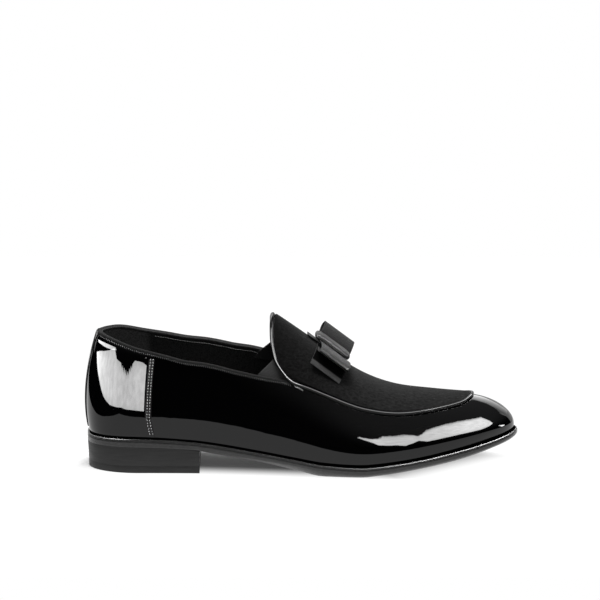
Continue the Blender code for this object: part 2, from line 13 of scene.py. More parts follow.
import bmesh
import bpy
import numpy as np
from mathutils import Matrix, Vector

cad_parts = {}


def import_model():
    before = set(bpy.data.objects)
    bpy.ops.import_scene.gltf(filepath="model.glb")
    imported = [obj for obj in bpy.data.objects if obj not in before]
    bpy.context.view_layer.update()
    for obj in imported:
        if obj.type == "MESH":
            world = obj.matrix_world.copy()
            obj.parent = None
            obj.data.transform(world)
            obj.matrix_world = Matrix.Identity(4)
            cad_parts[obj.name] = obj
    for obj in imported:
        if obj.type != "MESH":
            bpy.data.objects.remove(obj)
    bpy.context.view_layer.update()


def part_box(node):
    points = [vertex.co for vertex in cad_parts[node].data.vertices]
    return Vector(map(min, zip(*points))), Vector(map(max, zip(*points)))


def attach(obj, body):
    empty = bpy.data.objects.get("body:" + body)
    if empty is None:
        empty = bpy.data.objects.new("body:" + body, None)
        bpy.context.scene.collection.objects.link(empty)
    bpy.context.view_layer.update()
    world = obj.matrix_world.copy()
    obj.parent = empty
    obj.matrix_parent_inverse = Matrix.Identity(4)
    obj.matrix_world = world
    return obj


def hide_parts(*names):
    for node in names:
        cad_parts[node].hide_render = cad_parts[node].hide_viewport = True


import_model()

MM = 0.001
SAME_POINT = 1e-6
GAP = 0.3

# The photo's scale, and its pixels on which the shoe's middle and the floor lie
MM_PER_PIXEL = 0.69
PHOTO_SIDE = 600
PHOTO_X_ZERO = 301.0
PHOTO_FLOOR = 463.0

# The camera and the floor
ELEVATION = math.radians(12.0)
LENS_MM = 400.0
SENSOR_MM = 36.0
FLOOR_SIDES = (-0.36, 0.9)
FLOOR_ENDS = (-0.32, 0.7)
# Painted light: the floor glows at least this much below the shoe, lifting its shadow
FLOOR_LEAST_GLOW = 0.05
FLOOR_GREY = 0.86
FLOOR_WHITE = 1.04
# The floor's glow, a painted light, and where it runs out into white round the painted shadow below the shoe:
# a direction along the floor, and the span along it
FLOOR_GLOW_FADES = [
    ((-0.13, -1.0, 0.0), (0.018, 0.05)),
    ((1.0, -1.0, 0.0), (0.075, 0.135)),
    ((1.0, 0.0, 0.0), (0.1, 0.15)),
    ((-1.0, 0.0, 0.0), (0.145, 0.2)),
    ((0.0, 1.0, 0.0), (0.05, 0.12)),
]

# The last: its length, and how its rays close round the heel and the toe
BACK_X = -150.0
TIP_X = 148.4
MIDDLE_X = (TIP_X + BACK_X) / 2
HALF_LENGTH = (TIP_X - BACK_X) / 2
HEEL_ROUND_X = -112.0
TOE_ROUND_X = 45.0
TIP_SWING = 3.0
HEEL_FAN_X = -70.0
TOE_FAN_X = 60.0
HEEL_SPINE_X = -110.0
TOE_SPINE_X = 112.0
TUCK_POWER = 6.0

# Wall and overlay thicknesses
PATENT_THICK = 1.0
LINING_OUT = -1.15
LINING_IN = -2.0
APRON_THICK = 1.3
COUNTER_THICK = 0.9
COUNTER_SKIVE = 4.0
COUNTER_PARED = 0.75
BACKSTAY_THICK = 0.8
GORE_OUT = -2.6
GORE_THICK = 0.8
BINDING_THICK = 0.7
BINDING_LEG = 2.1
BINDING_INNER_LEG = 1.4
BINDING_CAP = 0.9
PIPING_RADIUS = 1.25
PIPING_SLIP_START = 0.1
PIPING_SLIP_LENGTH = 0.3
PIPING_SINK = 0.75
NOTCH_ROOM = 0.8
NOTCH_ROOM_LENGTH = 16.0
TONGUE_ROOM = 0.3
MOST_ROOM = 0.9
INSOLE_THICK = 2.6
INSOLE_CLEAR = 0.9
WELT_THICK = 2.4
WELT_DROP = 1.2
WELT_ROUND = 1.2
WELT_SEAT_UNDER = 2.5
SMALL_ROUND = 0.8
WALL_TURN_IN = 1.2
WALL_RUN_ON = 1.6
WALL_SINK = 0.35

# Where a paint changes: along the shoe in metres, or along or round a measured piece in millimetres
GRAIN_SPAN = (-0.02, 0.06)
# Painted light and shade on the nap: darker towards the tongue, lighter towards the toe
NAP_PAINTED_LIGHT_SPAN = (-0.03, 0.06)
# The lining's paler heel panel, and the lining in front of it painted darker as shade
LINING_POCKET_AND_SHADE = (-0.109, -0.103)
# Painted light: the binding tape is lighter on its inner leg, which the lamps leave dark
TAPE_INSIDE_PAINTED_LIGHT = (5.6, 6.6)
# Painted shade and light along the lower loops: black up to this span, painted lit past it
LOOP_SHADED = (26.0, 27.4)
RIB_PITCH = 0.62

# The stitches: pitch, length and radius, how far behind or below an edge they run and where they start
COUNTER_STITCH = (2.0, 1.05, 0.42)
COUNTER_ROWS = (1.1, 2.9)
LINING_STITCH = (1.7, 1.3, 0.34)
LINING_STITCH_DEPTH = 3.6
LINING_STITCH_X = -104.0
# The collar's overcast stitches, which start above the binding's lower edge and slant down over it
COLLAR_STITCH_X = -143.0
COLLAR_PITCH = 1.5
COLLAR_SLANT = 0.7
COLLAR_ABOVE = 0.7
COLLAR_REACH = 1.3
COLLAR_LIFT = 0.15
COLLAR_THREAD = 0.2
# The bar tack, its ends in the photo's pixels
BAR_TACK = ((294.0, 385.6), (303.4, 390.4))
BAR_TACK_LIFT = 0.2
BAR_TACK_RADIUS = 0.55

# Half widths of the last at its fullest, how far the wall tucks in to the sole, and the arch's two powers
Last = namedtuple("Last", "x lateral medial lateral_tuck medial_tuck ridge_y ridge_z high_power wide_power")
LAST = [
    Last(-150, 35.0, 34.0, 4.4, 4.4, 0.0, 134.0, 2.00, 1.68),
    Last(-147, 35.0, 34.0, 2.4, 3.0, 0.0, 134.0, 2.00, 1.52),
    Last(-140, 35.0, 34.0, 1.0, 2.0, 0.0, 134.0, 2.00, 1.38),
    Last(-128, 35.0, 34.0, 0.7, 1.6, 0.0, 134.0, 2.00, 1.35),
    Last(-112, 35.0, 34.0, 0.7, 1.5, 0.0, 134.0, 2.00, 1.36),
    Last(-70, 35.8, 33.2, 0.8, 2.2, 0.8, 130.0, 2.00, 1.36),
    Last(-45, 37.5, 32.8, 0.9, 2.8, 1.6, 120.5, 1.98, 1.42),
    Last(-20, 41.0, 34.5, 1.1, 2.8, 2.6, 104.8, 1.95, 1.54),
    Last(2, 45.6, 38.8, 1.4, 2.4, 3.4, 89.2, 1.92, 1.80),
    Last(39, 50.6, 45.6, 1.6, 1.6, 4.0, 62.6, 1.92, 1.92),
    Last(47, 50.8, 46.6, 1.6, 1.4, 4.0, 58.6, 1.94, 1.96),
    Last(56, 50.8, 46.8, 1.5, 1.2, 3.8, 55.0, 1.96, 2.00),
    Last(68, 50.8, 46.8, 1.4, 1.0, 3.5, 51.8, 2.00, 2.00),
    Last(81, 50.8, 46.8, 1.2, 1.0, 3.1, 50.1, 2.00, 2.00),
    Last(112, 50.8, 46.8, 1.0, 0.8, 2.6, 48.0, 2.00, 1.86),
    Last(149, 50.8, 46.8, 0.8, 0.8, 2.6, 48.0, 2.00, 1.76),
]

# How far the lateral wall stands fuller a third of the way up
Fullness = namedtuple("Fullness", "x lateral_full")
FULLNESS = [
    Fullness(30, 0.0),
    Fullness(56, 0.6),
    Fullness(82, 1.4),
    Fullness(110, 2.2),
    Fullness(124, 2.4),
    Fullness(138, 1.3),
    Fullness(TIP_X, 0.0),
]
FULL_RISE = 0.33
FULL_FADE = 8

# Heights of the collar's edge from the heel to the notch beside the tongue
Collar = namedtuple("Collar", "x lateral_z medial_z")
COLLAR = [
    Collar(BACK_X, 93.2, 93.2),
    Collar(-137, 90.7, 92.8),
    Collar(-112, 84.9, 88.8),
    Collar(-94, 81.0, 86.2),
    Collar(-77, 77.1, 83.4),
    Collar(-49, 71.8, 79.0),
    Collar(-29, 67.3, 75.6),
    Collar(-6, 62.9, 68.0),
]
NOTCH_X = COLLAR[-1].x
BINDING_END_X = NOTCH_X - 0.8

# The apron's seam, as its plan distance from the ridge line along each ray
Seam = namedtuple("Seam", "x lateral_out medial_out")
SEAM = [
    Seam(7, 37.0, 25.2),
    Seam(29, 38.6, 28.5),
    Seam(50, 38.3, 29.5),
    Seam(68, 36.0, 28.5),
    Seam(86, 31.2, 25.5),
    Seam(104, 24.4, 20.5),
    Seam(121, 17.6, 16.0),
    Seam(133, 11.6, 11.2),
    Seam(TIP_X, 6.5, 6.5),
]

# The tongue's free edge: share of the way from the notch up to the ridge
TongueEdge = namedtuple("TongueEdge", "x edge_x")
TONGUE_EDGE = [
    TongueEdge(0.00, -6.0),
    TongueEdge(0.04, -11.8),
    TongueEdge(0.14, -17.8),
    TongueEdge(0.34, -19.6),
    TongueEdge(0.60, -19.8),
    TongueEdge(1.00, -18.0),
]

# The sole's side: feather line, how far the welt stands out, the band's lower line, bevel and bottom
Sole = namedtuple("Sole", "x feather_z margin band_z bevel bottom_z")
SOLE = [
    Sole(-148, 24.6, 2.4, 18.6, 0.1, 18.2),
    Sole(-118, 25.4, 1.9, 18.9, 0.1, 18.5),
    Sole(-75, 23.2, 1.6, 17.1, 0.2, 16.7),
    Sole(-64, 21.9, 1.7, 15.2, 5.0, 14.0),
    Sole(-28, 16.3, 2.0, 10.3, 9.0, 7.4),
    Sole(-2, 12.2, 2.2, 7.0, 7.0, 2.7),
    Sole(15, 9.6, 2.4, 4.2, 4.6, 0.0),
    Sole(42, 8.4, 2.5, 2.5, 4.0, 0.0),
    Sole(52, 9.2, 2.5, 3.4, 4.0, 1.0),
    Sole(77, 12.4, 2.4, 6.8, 3.8, 4.6),
    Sole(110, 18.2, 2.3, 12.6, 3.2, 10.4),
    Sole(134, 22.6, 2.3, 17.6, 2.6, 16.0),
    Sole(150, 25.4, 2.3, 21.0, 2.0, 19.5),
]

# The heel
BREAST_X = -70.0
HEEL_SET_IN = 0.05
HEEL_TAPER = 0.8
LIFT_THICK = 5.0
HEEL_SIDE = ((0.0, 0.04), (0.01, 0.0), (0.985, 0.0), (1.0, 0.04))

# The counter's front edge by share of the way up the wall, and the backstay's half width by height
CounterFront = namedtuple("CounterFront", "x front_x")
COUNTER_FRONT = [
    CounterFront(0.0, -100.6),
    CounterFront(0.25, -103.4),
    CounterFront(0.5, -103.1),
    CounterFront(1.0, -101.8),
]
BackStay = namedtuple("BackStay", "x half_width")
BACKSTAY = [
    BackStay(26, 3.6),
    BackStay(60, 3.0),
    BackStay(80, 3.2),
    BackStay(88, 5.4),
    BackStay(93, 6.6),
]
BACKSTAY_START = 0.02
SHORT_WALK = 0.02

# The elastic beside the tongue: ends of its lower and upper edge, as x and height over the notch
GORE_LOWER = ((-33.0, 1.0), (-3.0, -4.0))
GORE_UPPER = ((-29.5, 6.4), (-17.0, 18.0))

# The bow, square to the ridge's slope: along it, across it and out of it
BOW_X = 19.0
RIBBON_WIDTH = 26.0
RIBBON_THICK = 0.9
RIBBON_STATIONS = (-1.0, -0.975, -0.8, -0.4, 0.0, 0.4, 0.8, 0.975, 1.0)
LOOP_TUCK = 4.0
KNOT_SIZE = (29.0, 13.0, 5.2)
KNOT_PLACE = (-1.2, 4.3)
KNOT_POWERS = (0.35, 0.6)
KNOT_STATIONS = (
    (-1.0, 2.4), (-0.98, 1.6), (-0.92, 0.8), (-0.8, 0.25), (-0.55, 0.0), (0.0, 0.0),
    (0.55, 0.0), (0.8, 0.25), (0.92, 0.8), (0.98, 1.6), (1.0, 2.4),
)
BASE_SIZE = (33.0, 9.0, 0.7)
BASE_PLACE = (-3.8, 0.7)
BOW_SLOPE_SPAN = 4.0
Loop = namedtuple("Loop", "name side forward far near_out far_out half_height droop flatness pinch rear_cut")
LOOPS = [
    Loop("bow_upper_loop_lateral", -1, 1.8, 28.0, 2.0, 1.2, 3.4, 1.0, 1.1, 0.6, 1.8),
    Loop("bow_upper_loop_medial", 1, 0.0, 25.0, 4.8, 9.8, 2.9, 1.0, 0.7, 0.3, 0.6),
    Loop("bow_lower_loop_lateral", -1, 1.8, 31.0, 0.9, -9.4, 1.2, 1.8, 0.7, 0.3, 1.0),
    Loop("bow_lower_loop_medial", 1, 0.0, 27.0, 0.9, -6.9, 1.3, 1.8, 0.7, 0.3, 1.0),
]

# How finely the surfaces are divided before they are smoothed
HEEL_COLUMNS = 24
FRONT_COLUMNS = 28
WALL_ROWS = 12
TOP_ROWS = 9
TONGUE_COLUMNS = 6
ARCH_CROWDING = 1.6
SOLE_COLUMNS = 110
BINDING_COLUMNS = 60
LOOP_POINTS = 36
CORD_SIDES = 12
CORD_STEP = 1.6
SEAM_POINTS = 160
TONGUE_POINTS = 60

LATERAL, MEDIAL = -1, 1
SIDES = (LATERAL, MEDIAL)
SIDE_NAMES = {LATERAL: "lateral", MEDIAL: "medial"}


# The last's surface

def curve_through(xs, ys, x):
    """A smooth curve through the points that never overshoots them."""
    if x <= xs[0]:
        return ys[0]
    if x >= xs[-1]:
        return ys[-1]
    i = bisect_right(xs, x) - 1
    steps = [b - a for a, b in zip(xs, xs[1:])]
    slopes = [(b - a) / step for a, b, step in zip(ys, ys[1:], steps)]

    def tangent(k):
        if k in (0, len(xs) - 1):
            return slopes[min(k, len(slopes) - 1)]
        before, after = slopes[k - 1], slopes[k]
        return 0.0 if before * after <= 0 else 2 * before * after / (before + after)

    s = (x - xs[i]) / steps[i]
    return (
        ys[i] * (1 + 2 * s) * (1 - s) ** 2
        + ys[i + 1] * s * s * (3 - 2 * s)
        + steps[i] * (tangent(i) * s * (1 - s) ** 2 - tangent(i + 1) * s * s * (1 - s))
    )


def along(table, column, x):
    """A table's column at x."""
    return curve_through([row.x for row in table], [getattr(row, column) for row in table], x)


def walk_of(x):
    """The walk, 0 at the centre back and 1 at the toe tip, that reaches x on the outline."""
    return math.acos(max(-1.0, min(1.0, (MIDDLE_X - x) / HALF_LENGTH))) / math.pi


def closing(x):
    """How the outline's half width closes at the heel and the toe, as quarter ellipses."""
    if x < HEEL_ROUND_X:
        share = (HEEL_ROUND_X - x) / (HEEL_ROUND_X - BACK_X)
    elif x > TOE_ROUND_X:
        share = (x - TOE_ROUND_X) / (TIP_X - TOE_ROUND_X)
    else:
        return 1.0
    return math.sqrt(max(0.0, 1 - share * share))


def spine_x(x):
    """Where on the ridge line the ray from outline x ends: rays fan out round the heel and the toe."""
    for fan, end, spine in ((HEEL_FAN_X, BACK_X, HEEL_SPINE_X), (TOE_FAN_X, TIP_X, TOE_SPINE_X)):
        reach = end - fan
        along_fan = x - fan
        if along_fan * reach > 0:
            return x - (end - spine) * (along_fan / reach) ** 2
    return x


Ray = namedtuple("Ray", "x start aim reach tuck full feather_z ridge_z high_power wide_power")


@lru_cache(maxsize=None)
def ray_at(walk, side):
    x = MIDDLE_X - HALF_LENGTH * math.cos(math.pi * walk)
    name = SIDE_NAMES[side]
    swing = TIP_SWING * max(0.0, (x - TOE_ROUND_X) / (TIP_X - TOE_ROUND_X)) ** 2
    outline = np.array([x, swing + side * along(LAST, name, x) * closing(x)])
    start_x = spine_x(x)
    start = np.array([start_x, along(LAST, "ridge_y", start_x)])
    reach = float(np.linalg.norm(outline - start))
    aim = (outline - start) / reach
    tuck = along(LAST, name + "_tuck", x)
    feather_x = start[0] + aim[0] * (reach - tuck)
    return Ray(
        x, start, aim, reach, tuck,
        along(FULLNESS, "lateral_full", x) if side == LATERAL else 0.0,
        along(SOLE, "feather_z", feather_x),
        along(LAST, "ridge_z", start_x),
        along(LAST, "high_power", x),
        along(LAST, "wide_power", x),
    )


def bare(walk, side, angle):
    """The last's surface: angle 0 at the feather line, a right angle at the ridge, more on the other side."""
    if angle > math.pi / 2:
        side, angle = -side, math.pi - angle
    if walk < 0:
        side, walk = -side, -walk
    if walk > 1:
        side, walk = -side, 2 - walk
    ray = ray_at(walk, side)
    rise = max(0.0, math.sin(angle)) ** (2 / ray.high_power)
    out = ray.reach * max(0.0, math.cos(angle)) ** (2 / ray.wide_power)
    out -= ray.tuck * (1 - rise) ** TUCK_POWER
    high = (rise / FULL_RISE) ** 2
    out += ray.full * high * math.exp(1 - high) * (1 - rise**FULL_FADE)
    plan = ray.start + ray.aim * out
    return np.array([plan[0], plan[1], ray.feather_z + rise * (ray.ridge_z - ray.feather_z)])


def normal(walk, side, angle):
    """Outward normal of the last."""
    step = 0.004
    angle = min(max(angle, 0.02), math.pi / 2 - 0.05)
    over = bare(walk + step, side, angle) - bare(walk - step, side, angle)
    up = bare(walk, side, angle + step) - bare(walk, side, angle - step)
    across = -side * np.cross(over, up)
    return across / np.linalg.norm(across)


def ridge_normal(walk):
    """Outward normal on the ridge, level across it."""
    both = normal(walk, LATERAL, math.pi / 2) + normal(walk, MEDIAL, math.pi / 2)
    return both / np.linalg.norm(both)


@lru_cache(maxsize=None)
def surface(walk, side, angle, offset=0.0):
    """A point at this distance outside the last."""
    if offset == 0.0:
        return bare(walk, side, angle)
    on_ridge = angle > math.pi / 2 - 1e-6
    outward = ridge_normal(walk) if on_ridge else normal(walk, side, angle)
    return bare(walk, side, angle) + offset * outward


def angle_at_height(walk, side, z):
    ray = ray_at(walk, side)
    rise = (z - ray.feather_z) / (ray.ridge_z - ray.feather_z)
    return math.asin(min(1.0, max(0.0, rise)) ** (ray.high_power / 2))


def angle_at_distance(walk, side, out):
    ray = ray_at(walk, side)
    return math.acos(min(1.0, out / ray.reach) ** (ray.wide_power / 2))


@lru_cache(maxsize=None)
def edge_rows(side):
    """Angles of the collar's edge and then of the apron's seam, one line from heel to toe."""
    name = SIDE_NAMES[side]
    collar = [(row.x, angle_at_height(walk_of(row.x), side, getattr(row, name + "_z"))) for row in COLLAR]
    seam = [(row.x, angle_at_distance(walk_of(row.x), side, getattr(row, name + "_out"))) for row in SEAM]
    return collar + seam


@lru_cache(maxsize=None)
def edge_angle(walk, side):
    rows = edge_rows(side)
    return curve_through([row[0] for row in rows], [row[1] for row in rows], ray_at(walk, side).x)


@lru_cache(maxsize=None)
def girth(walk, side, first, last, parts=8):
    """Length of the arch between two angles."""
    points = [bare(walk, side, first + (last - first) * k / parts) for k in range(parts + 1)]
    return sum(float(np.linalg.norm(b - a)) for a, b in zip(points, points[1:]))


def angle_below(walk, side, depth):
    """The angle this far down the wall from its upper edge."""
    edge = edge_angle(walk, side)
    return edge * (1 - depth / girth(walk, side, 0.0, edge))


def both_ways(walks):
    """Stops from the last walk along the lateral side to the heel, and back along the medial side."""
    return [(walk, LATERAL) for walk in reversed(walks)] + [(walk, MEDIAL) for walk in walks[1:]]


def shares(count, first=0.0, last=1.0):
    return [first + (last - first) * k / count for k in range(count + 1)]


def arch_shares(first=0.0):
    """Shares of the way from seam to ridge, closer together near the seam."""
    return [first + (1 - first) * s**ARCH_CROWDING for s in shares(TOP_ROWS)]


def rear_walks():
    return shares(HEEL_COLUMNS, 0.0, walk_of(NOTCH_X))


def front_walks():
    return shares(FRONT_COLUMNS, walk_of(NOTCH_X), 1.0)


def wall_grid(side, offset):
    """Wall from the feather line up to the collar's edge and the apron's seam."""
    walks = rear_walks()[:-1] + front_walks()
    return [[surface(w, side, edge_angle(w, side) * s, offset) for s in shares(WALL_ROWS)] for w in walks]


def notch_widening(x):
    """The cord turns sharply at the notch, so the apron keeps further off it there."""
    return 1 + NOTCH_ROOM * max(0.0, 1 - (x - NOTCH_X) / NOTCH_ROOM_LENGTH)


def top_grid(side, offset, room=0.0):
    """Top of the vamp from the seam to the ridge, kept clear of the seam by room."""
    grid = []
    for walk in front_walks():
        seam = edge_angle(walk, side)
        rise = math.pi / 2 - seam
        wider = room * notch_widening(ray_at(walk, side).x)
        start = min(MOST_ROOM, wider / girth(walk, side, seam, math.pi / 2))
        grid.append([surface(walk, side, seam + rise * up, offset) for up in arch_shares(start)])
    return grid


def tongue_point(side, share_up, x, offset):
    notch = walk_of(NOTCH_X)
    seam = edge_angle(notch, side)
    return surface(walk_of(x), side, seam + (math.pi / 2 - seam) * share_up, offset)


def tongue_grid(side, offset, room=0.0):
    """Tongue behind the notch, kept clear of its free edge by room."""
    notch = walk_of(NOTCH_X)
    seam = edge_angle(notch, side)
    start = room * notch_widening(NOTCH_X) / girth(notch, side, seam, math.pi / 2)
    grid = []
    for back in shares(TONGUE_COLUMNS):
        row = []
        for up in arch_shares(start):
            edge = min(NOTCH_X, along(TONGUE_EDGE, "edge_x", up) + TONGUE_ROOM * room)
            row.append(tongue_point(side, up, NOTCH_X + back * (edge - NOTCH_X), offset))
        grid.append(row)
    return grid


# Making pieces

def frame_shift():
    """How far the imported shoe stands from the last's own origin, in metres."""
    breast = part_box("heel_top_lift")[1].x - BREAST_X * MM
    low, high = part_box("bow_base")
    return np.array([breast, (low.y + high.y) / 2 - along(LAST, "ridge_y", BOW_X) * MM, 0.0])


SHIFT = frame_shift()


def to_frame(point):
    return Vector(np.asarray(point, float) * MM + SHIFT)


def add_grid(mesh, grid, inner=None, measured=False):
    """Quads over a grid of points, each vertex keeping its partner on the inner face.

    A measured grid also gets texture coordinates: millimetres down its rows and across them, at its middle.
    """
    layer = mesh.verts.layers.float_vector.get("inner") or mesh.verts.layers.float_vector.new("inner")
    made = []
    for i, row in enumerate(grid):
        made.append([])
        for j, point in enumerate(row):
            vert = mesh.verts.new(to_frame(point))
            if inner is not None:
                vert[layer] = to_frame(inner[i][j])
            made[-1].append(vert)
    if measured:
        uv = mesh.loops.layers.uv.get("UVMap") or mesh.loops.layers.uv.new("UVMap")
        middle_row = len(grid[0]) // 2
        middle_column = len(grid) // 2
        down = lengths([row[middle_row] for row in grid])
        across = lengths(grid[middle_column])
    for i, (a, b) in enumerate(zip(made, made[1:])):
        for k in range(len(a) - 1):
            face = mesh.faces.new((a[k], b[k], b[k + 1], a[k + 1]))
            if measured:
                places = ((i, k), (i + 1, k), (i + 1, k + 1), (i, k + 1))
                for loop, (down_at, across_at) in zip(face.loops, places):
                    loop[uv].uv = (down[down_at], across[across_at])


def lengths(points):
    """Length along a line up to each of its points."""
    steps = np.linalg.norm(np.diff(np.array(points, float), axis=0), axis=1)
    return np.concatenate([[0.0], np.cumsum(steps)])


def at_lengths(values, at_points, at):
    """A line's points, or values given at them, at these lengths along it."""
    return np.stack([np.interp(at, at_points, values[:, k]) for k in range(3)], axis=1)


def thicken(mesh):
    """The inner face and the rim of an open surface whose vertices hold their inner partners."""
    layer = mesh.verts.layers.float_vector["inner"]
    uv = mesh.loops.layers.uv.get("UVMap")
    faces = list(mesh.faces)
    rim = [edge for edge in mesh.edges if edge.is_boundary]
    partner = {vert: mesh.verts.new(vert[layer]) for vert in list(mesh.verts)}
    for face in faces:
        back = mesh.faces.new([partner[vert] for vert in reversed(face.verts)])
        if uv:
            for loop, source in zip(back.loops, reversed(list(face.loops))):
                loop[uv].uv = source[uv].uv
    for edge in rim:
        a, b = edge.verts
        side = mesh.faces.new((b, a, partner[a], partner[b]))
        if uv:
            places = {loop.vert: loop[uv].uv.copy() for loop in edge.link_faces[0].loops}
            for loop, vert in zip(side.loops, (b, a, a, b)):
                loop[uv].uv = places[vert]


def close_up(mesh):
    """Merge the points that lie together and fill the open ends."""
    bmesh.ops.remove_doubles(mesh, verts=mesh.verts, dist=SAME_POINT)
    bmesh.ops.holes_fill(mesh, edges=mesh.edges, sides=0)


def placed(name, data):
    """An object with this data, in the scene."""
    made = bpy.data.objects.new(name, data)
    bpy.context.scene.collection.objects.link(made)
    return made


def finished(name, mesh, material, replaced=(), subdivisions=0, sharp_degrees=None):
    """A piece of the closed mesh that rides on the shoe and stands for the solids named."""
    bmesh.ops.recalc_face_normals(mesh, faces=mesh.faces)
    data = bpy.data.meshes.new(name)
    mesh.to_mesh(data)
    mesh.free()
    data.shade_smooth()
    if sharp_degrees:
        data.set_sharp_from_angle(angle=math.radians(sharp_degrees))
    data.materials.append(material)
    piece = placed(name, data)
    if subdivisions:
        smooth = piece.modifiers.new("smooth", "SUBSURF")
        smooth.levels = subdivisions
        smooth.render_levels = subdivisions
    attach(piece, "root")
    if replaced:
        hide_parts(*replaced)
    return piece


def shell(name, pairs, material, replaced=(), subdivisions=2, measured=False):
    """A wall between the outer and inner grids of each pair, joined where the grids share an edge."""
    mesh = bmesh.new()
    for outer, inner in pairs:
        add_grid(mesh, outer, inner, measured)
    bmesh.ops.remove_doubles(mesh, verts=mesh.verts, dist=SAME_POINT)
    thicken(mesh)
    return finished(name, mesh, material, replaced, subdivisions)


def swept(name, rings, material, replaced):
    """A measured piece through closed rings, filled at its ends."""
    mesh = bmesh.new()
    add_grid(mesh, rings, measured=True)
    close_up(mesh)
    return finished(name, mesh, material, replaced, 1)


def two_faces(point, place, faces, columns, rows):
    """The outer and the inner grid of a panel, from a function of its place, face, column and row."""
    return [[[point(place, face, column, row) for row in rows] for column in columns] for face in faces]


def tube(mesh, points, radius, closed=False, sides=CORD_SIDES):
    """A round cord along the points."""
    points = np.array(points, float)
    count = len(points)
    ahead = np.roll(points, -1, axis=0) - np.roll(points, 1, axis=0)
    if not closed:
        ahead[0] = points[1] - points[0]
        ahead[-1] = points[-1] - points[-2]
    ahead /= np.linalg.norm(ahead, axis=1)[:, None]
    side = np.cross(ahead[0], [0.0, 0.0, 1.0])
    side /= np.linalg.norm(side)
    rings = []
    for k in range(count):
        side = side - ahead[k] * (side @ ahead[k])
        side /= np.linalg.norm(side)
        up = np.cross(ahead[k], side)
        size = radius if np.isscalar(radius) else radius[k]
        turn = [2 * math.pi * s / sides for s in range(sides + 1)]
        rings.append([points[k] + size * (math.cos(a) * side + math.sin(a) * up) for a in turn])
    if closed:
        first, last = np.array(rings[0][:-1]), np.array(rings[-1][:-1])
        start = int(np.argmin(np.linalg.norm(first - last[0], axis=1)))
        turned = [*first[start:], *first[:start]]
        rings.append(turned + turned[:1])
    add_grid(mesh, rings)


# Materials

class Nodes:
    """The shader nodes of a material or of the world, added one by one."""

    def __init__(self, tree):
        self.tree = tree

    def node(self, kind, **values):
        """A node with its settings, and its sockets set or linked."""
        made = self.tree.nodes.new("ShaderNode" + kind)
        for key, value in values.items():
            socket = made.inputs.get(key.replace("_", " "))
            if socket is None:
                setattr(made, key, value)
            elif hasattr(value, "links"):
                self.tree.links.new(value, socket)
            else:
                socket.default_value = value
        return made

    def place(self, stretch=(1.0, 1.0, 1.0), source="Object"):
        """Coordinates in metres, or of the measured grid in millimetres, stretched along each axis."""
        coordinates = self.node("TexCoord")
        return self.node("Mapping", Vector=coordinates.outputs[source], Scale=stretch).outputs["Vector"]

    def axis(self, letter, source="Object"):
        """One of these coordinates."""
        return self.node("SeparateXYZ", Vector=self.place(source=source)).outputs[letter]

    def noise(self, size_mm, stretch=(1.0, 1.0, 1.0), detail=3.0, roughness=0.55):
        """Noise whose grain is about this size."""
        return self.node(
            "TexNoise", Vector=self.place(stretch), Scale=1.0 / (size_mm * MM), Detail=detail,
            Roughness=roughness,
        ).outputs["Fac"]

    def ribs(self, pitch_mm, direction):
        """Ribs of a measured grid, one after another down its rows, X, or across them, Y."""
        coordinates = self.node("TexCoord").outputs["UV"]
        return self.node(
            "TexWave", bands_direction=direction, Vector=coordinates, Scale=2 * math.pi / (20 * pitch_mm),
            Distortion=0.4, Detail=1.0,
        ).outputs["Fac"]

    def remapped(self, value, low, high, from_low=0.3, from_high=0.7, easing="LINEAR"):
        """A value brought from one range to another."""
        return self.node(
            "MapRange", interpolation_type=easing, Value=value, From_Min=from_low, From_Max=from_high,
            To_Min=low, To_Max=high,
        ).outputs["Result"]

    def smooth(self, value, span, limits):
        """A value eased from one limit to the other over a span."""
        return self.remapped(value, *limits, *span, easing="SMOOTHSTEP")

    def reach(self, source, direction):
        """How far a place lies along a direction."""
        coordinates = self.node("TexCoord").outputs[source]
        made = self.node("VectorMath", operation="DOT_PRODUCT", Vector=coordinates)
        made.inputs[1].default_value = direction
        return made.outputs["Value"]

    def paired(self, kind, places, first, second, **values):
        """A node with two inputs that share one name, linked by their places."""
        made = self.node(kind, **values)
        self.tree.links.new(first, made.inputs[places[0]])
        self.tree.links.new(second, made.inputs[places[1]])
        return made

    def combined(self, operation, first, second):
        """Two values brought together, such as their product or the larger of them."""
        return self.paired("Math", (0, 1), first, second, operation=operation).outputs["Value"]


class Paint(Nodes):
    """A Principled material."""

    def __init__(self, name, colour, roughness, **sockets):
        self.material = bpy.data.materials.new(name)
        self.material.use_nodes = True
        super().__init__(self.material.node_tree)
        self.shader = self.tree.nodes["Principled BSDF"]
        self.shader.inputs["Base Color"].default_value = (*colour, 1.0)
        self.shader.inputs["Roughness"].default_value = roughness
        for socket, value in sockets.items():
            self.shader.inputs[socket.replace("_", " ")].default_value = value

    def shade(self, value, dark, light):
        """Base colour between two greys by a value."""
        ramp = self.node("ValToRGB", Fac=value)
        for element, grey, position in zip(ramp.color_ramp.elements, (dark, light), (0.3, 0.7)):
            element.color = (grey, grey, grey, 1.0)
            element.position = position
        self.link(ramp.outputs["Color"], "Base Color")

    def link(self, output, socket):
        self.tree.links.new(output, self.shader.inputs[socket])

    def bump(self, height, depth_mm, strength=1.0, over=None, socket="Normal"):
        """Relief of this depth, over another relief if one is given."""
        made = self.node("Bump", Height=height, Distance=depth_mm * MM, Strength=strength)
        if over is not None:
            self.tree.links.new(over, made.inputs["Normal"])
        if socket:
            self.link(made.outputs["Normal"], socket)
        return made.outputs["Normal"]


def patent_paint():
    paint = Paint(
        "patent_leather", (0.0012, 0.0012, 0.0014), 0.4, Specular_IOR_Level=0.0,
        Coat_Weight=1.0, Coat_Roughness=0.02, Coat_IOR=1.42,
    )
    waves = paint.bump(paint.noise(9.0, detail=1.0), 0.02, socket=None)
    share = paint.remapped(paint.axis("X"), 0.14, 1.0, *GRAIN_SPAN)
    grain = paint.combined("MULTIPLY", paint.noise(2.0, detail=2.0), share)
    paint.bump(grain, 0.009, over=waves, socket="Coat Normal")
    paint.bump(paint.noise(0.35), 0.01)
    return paint.material


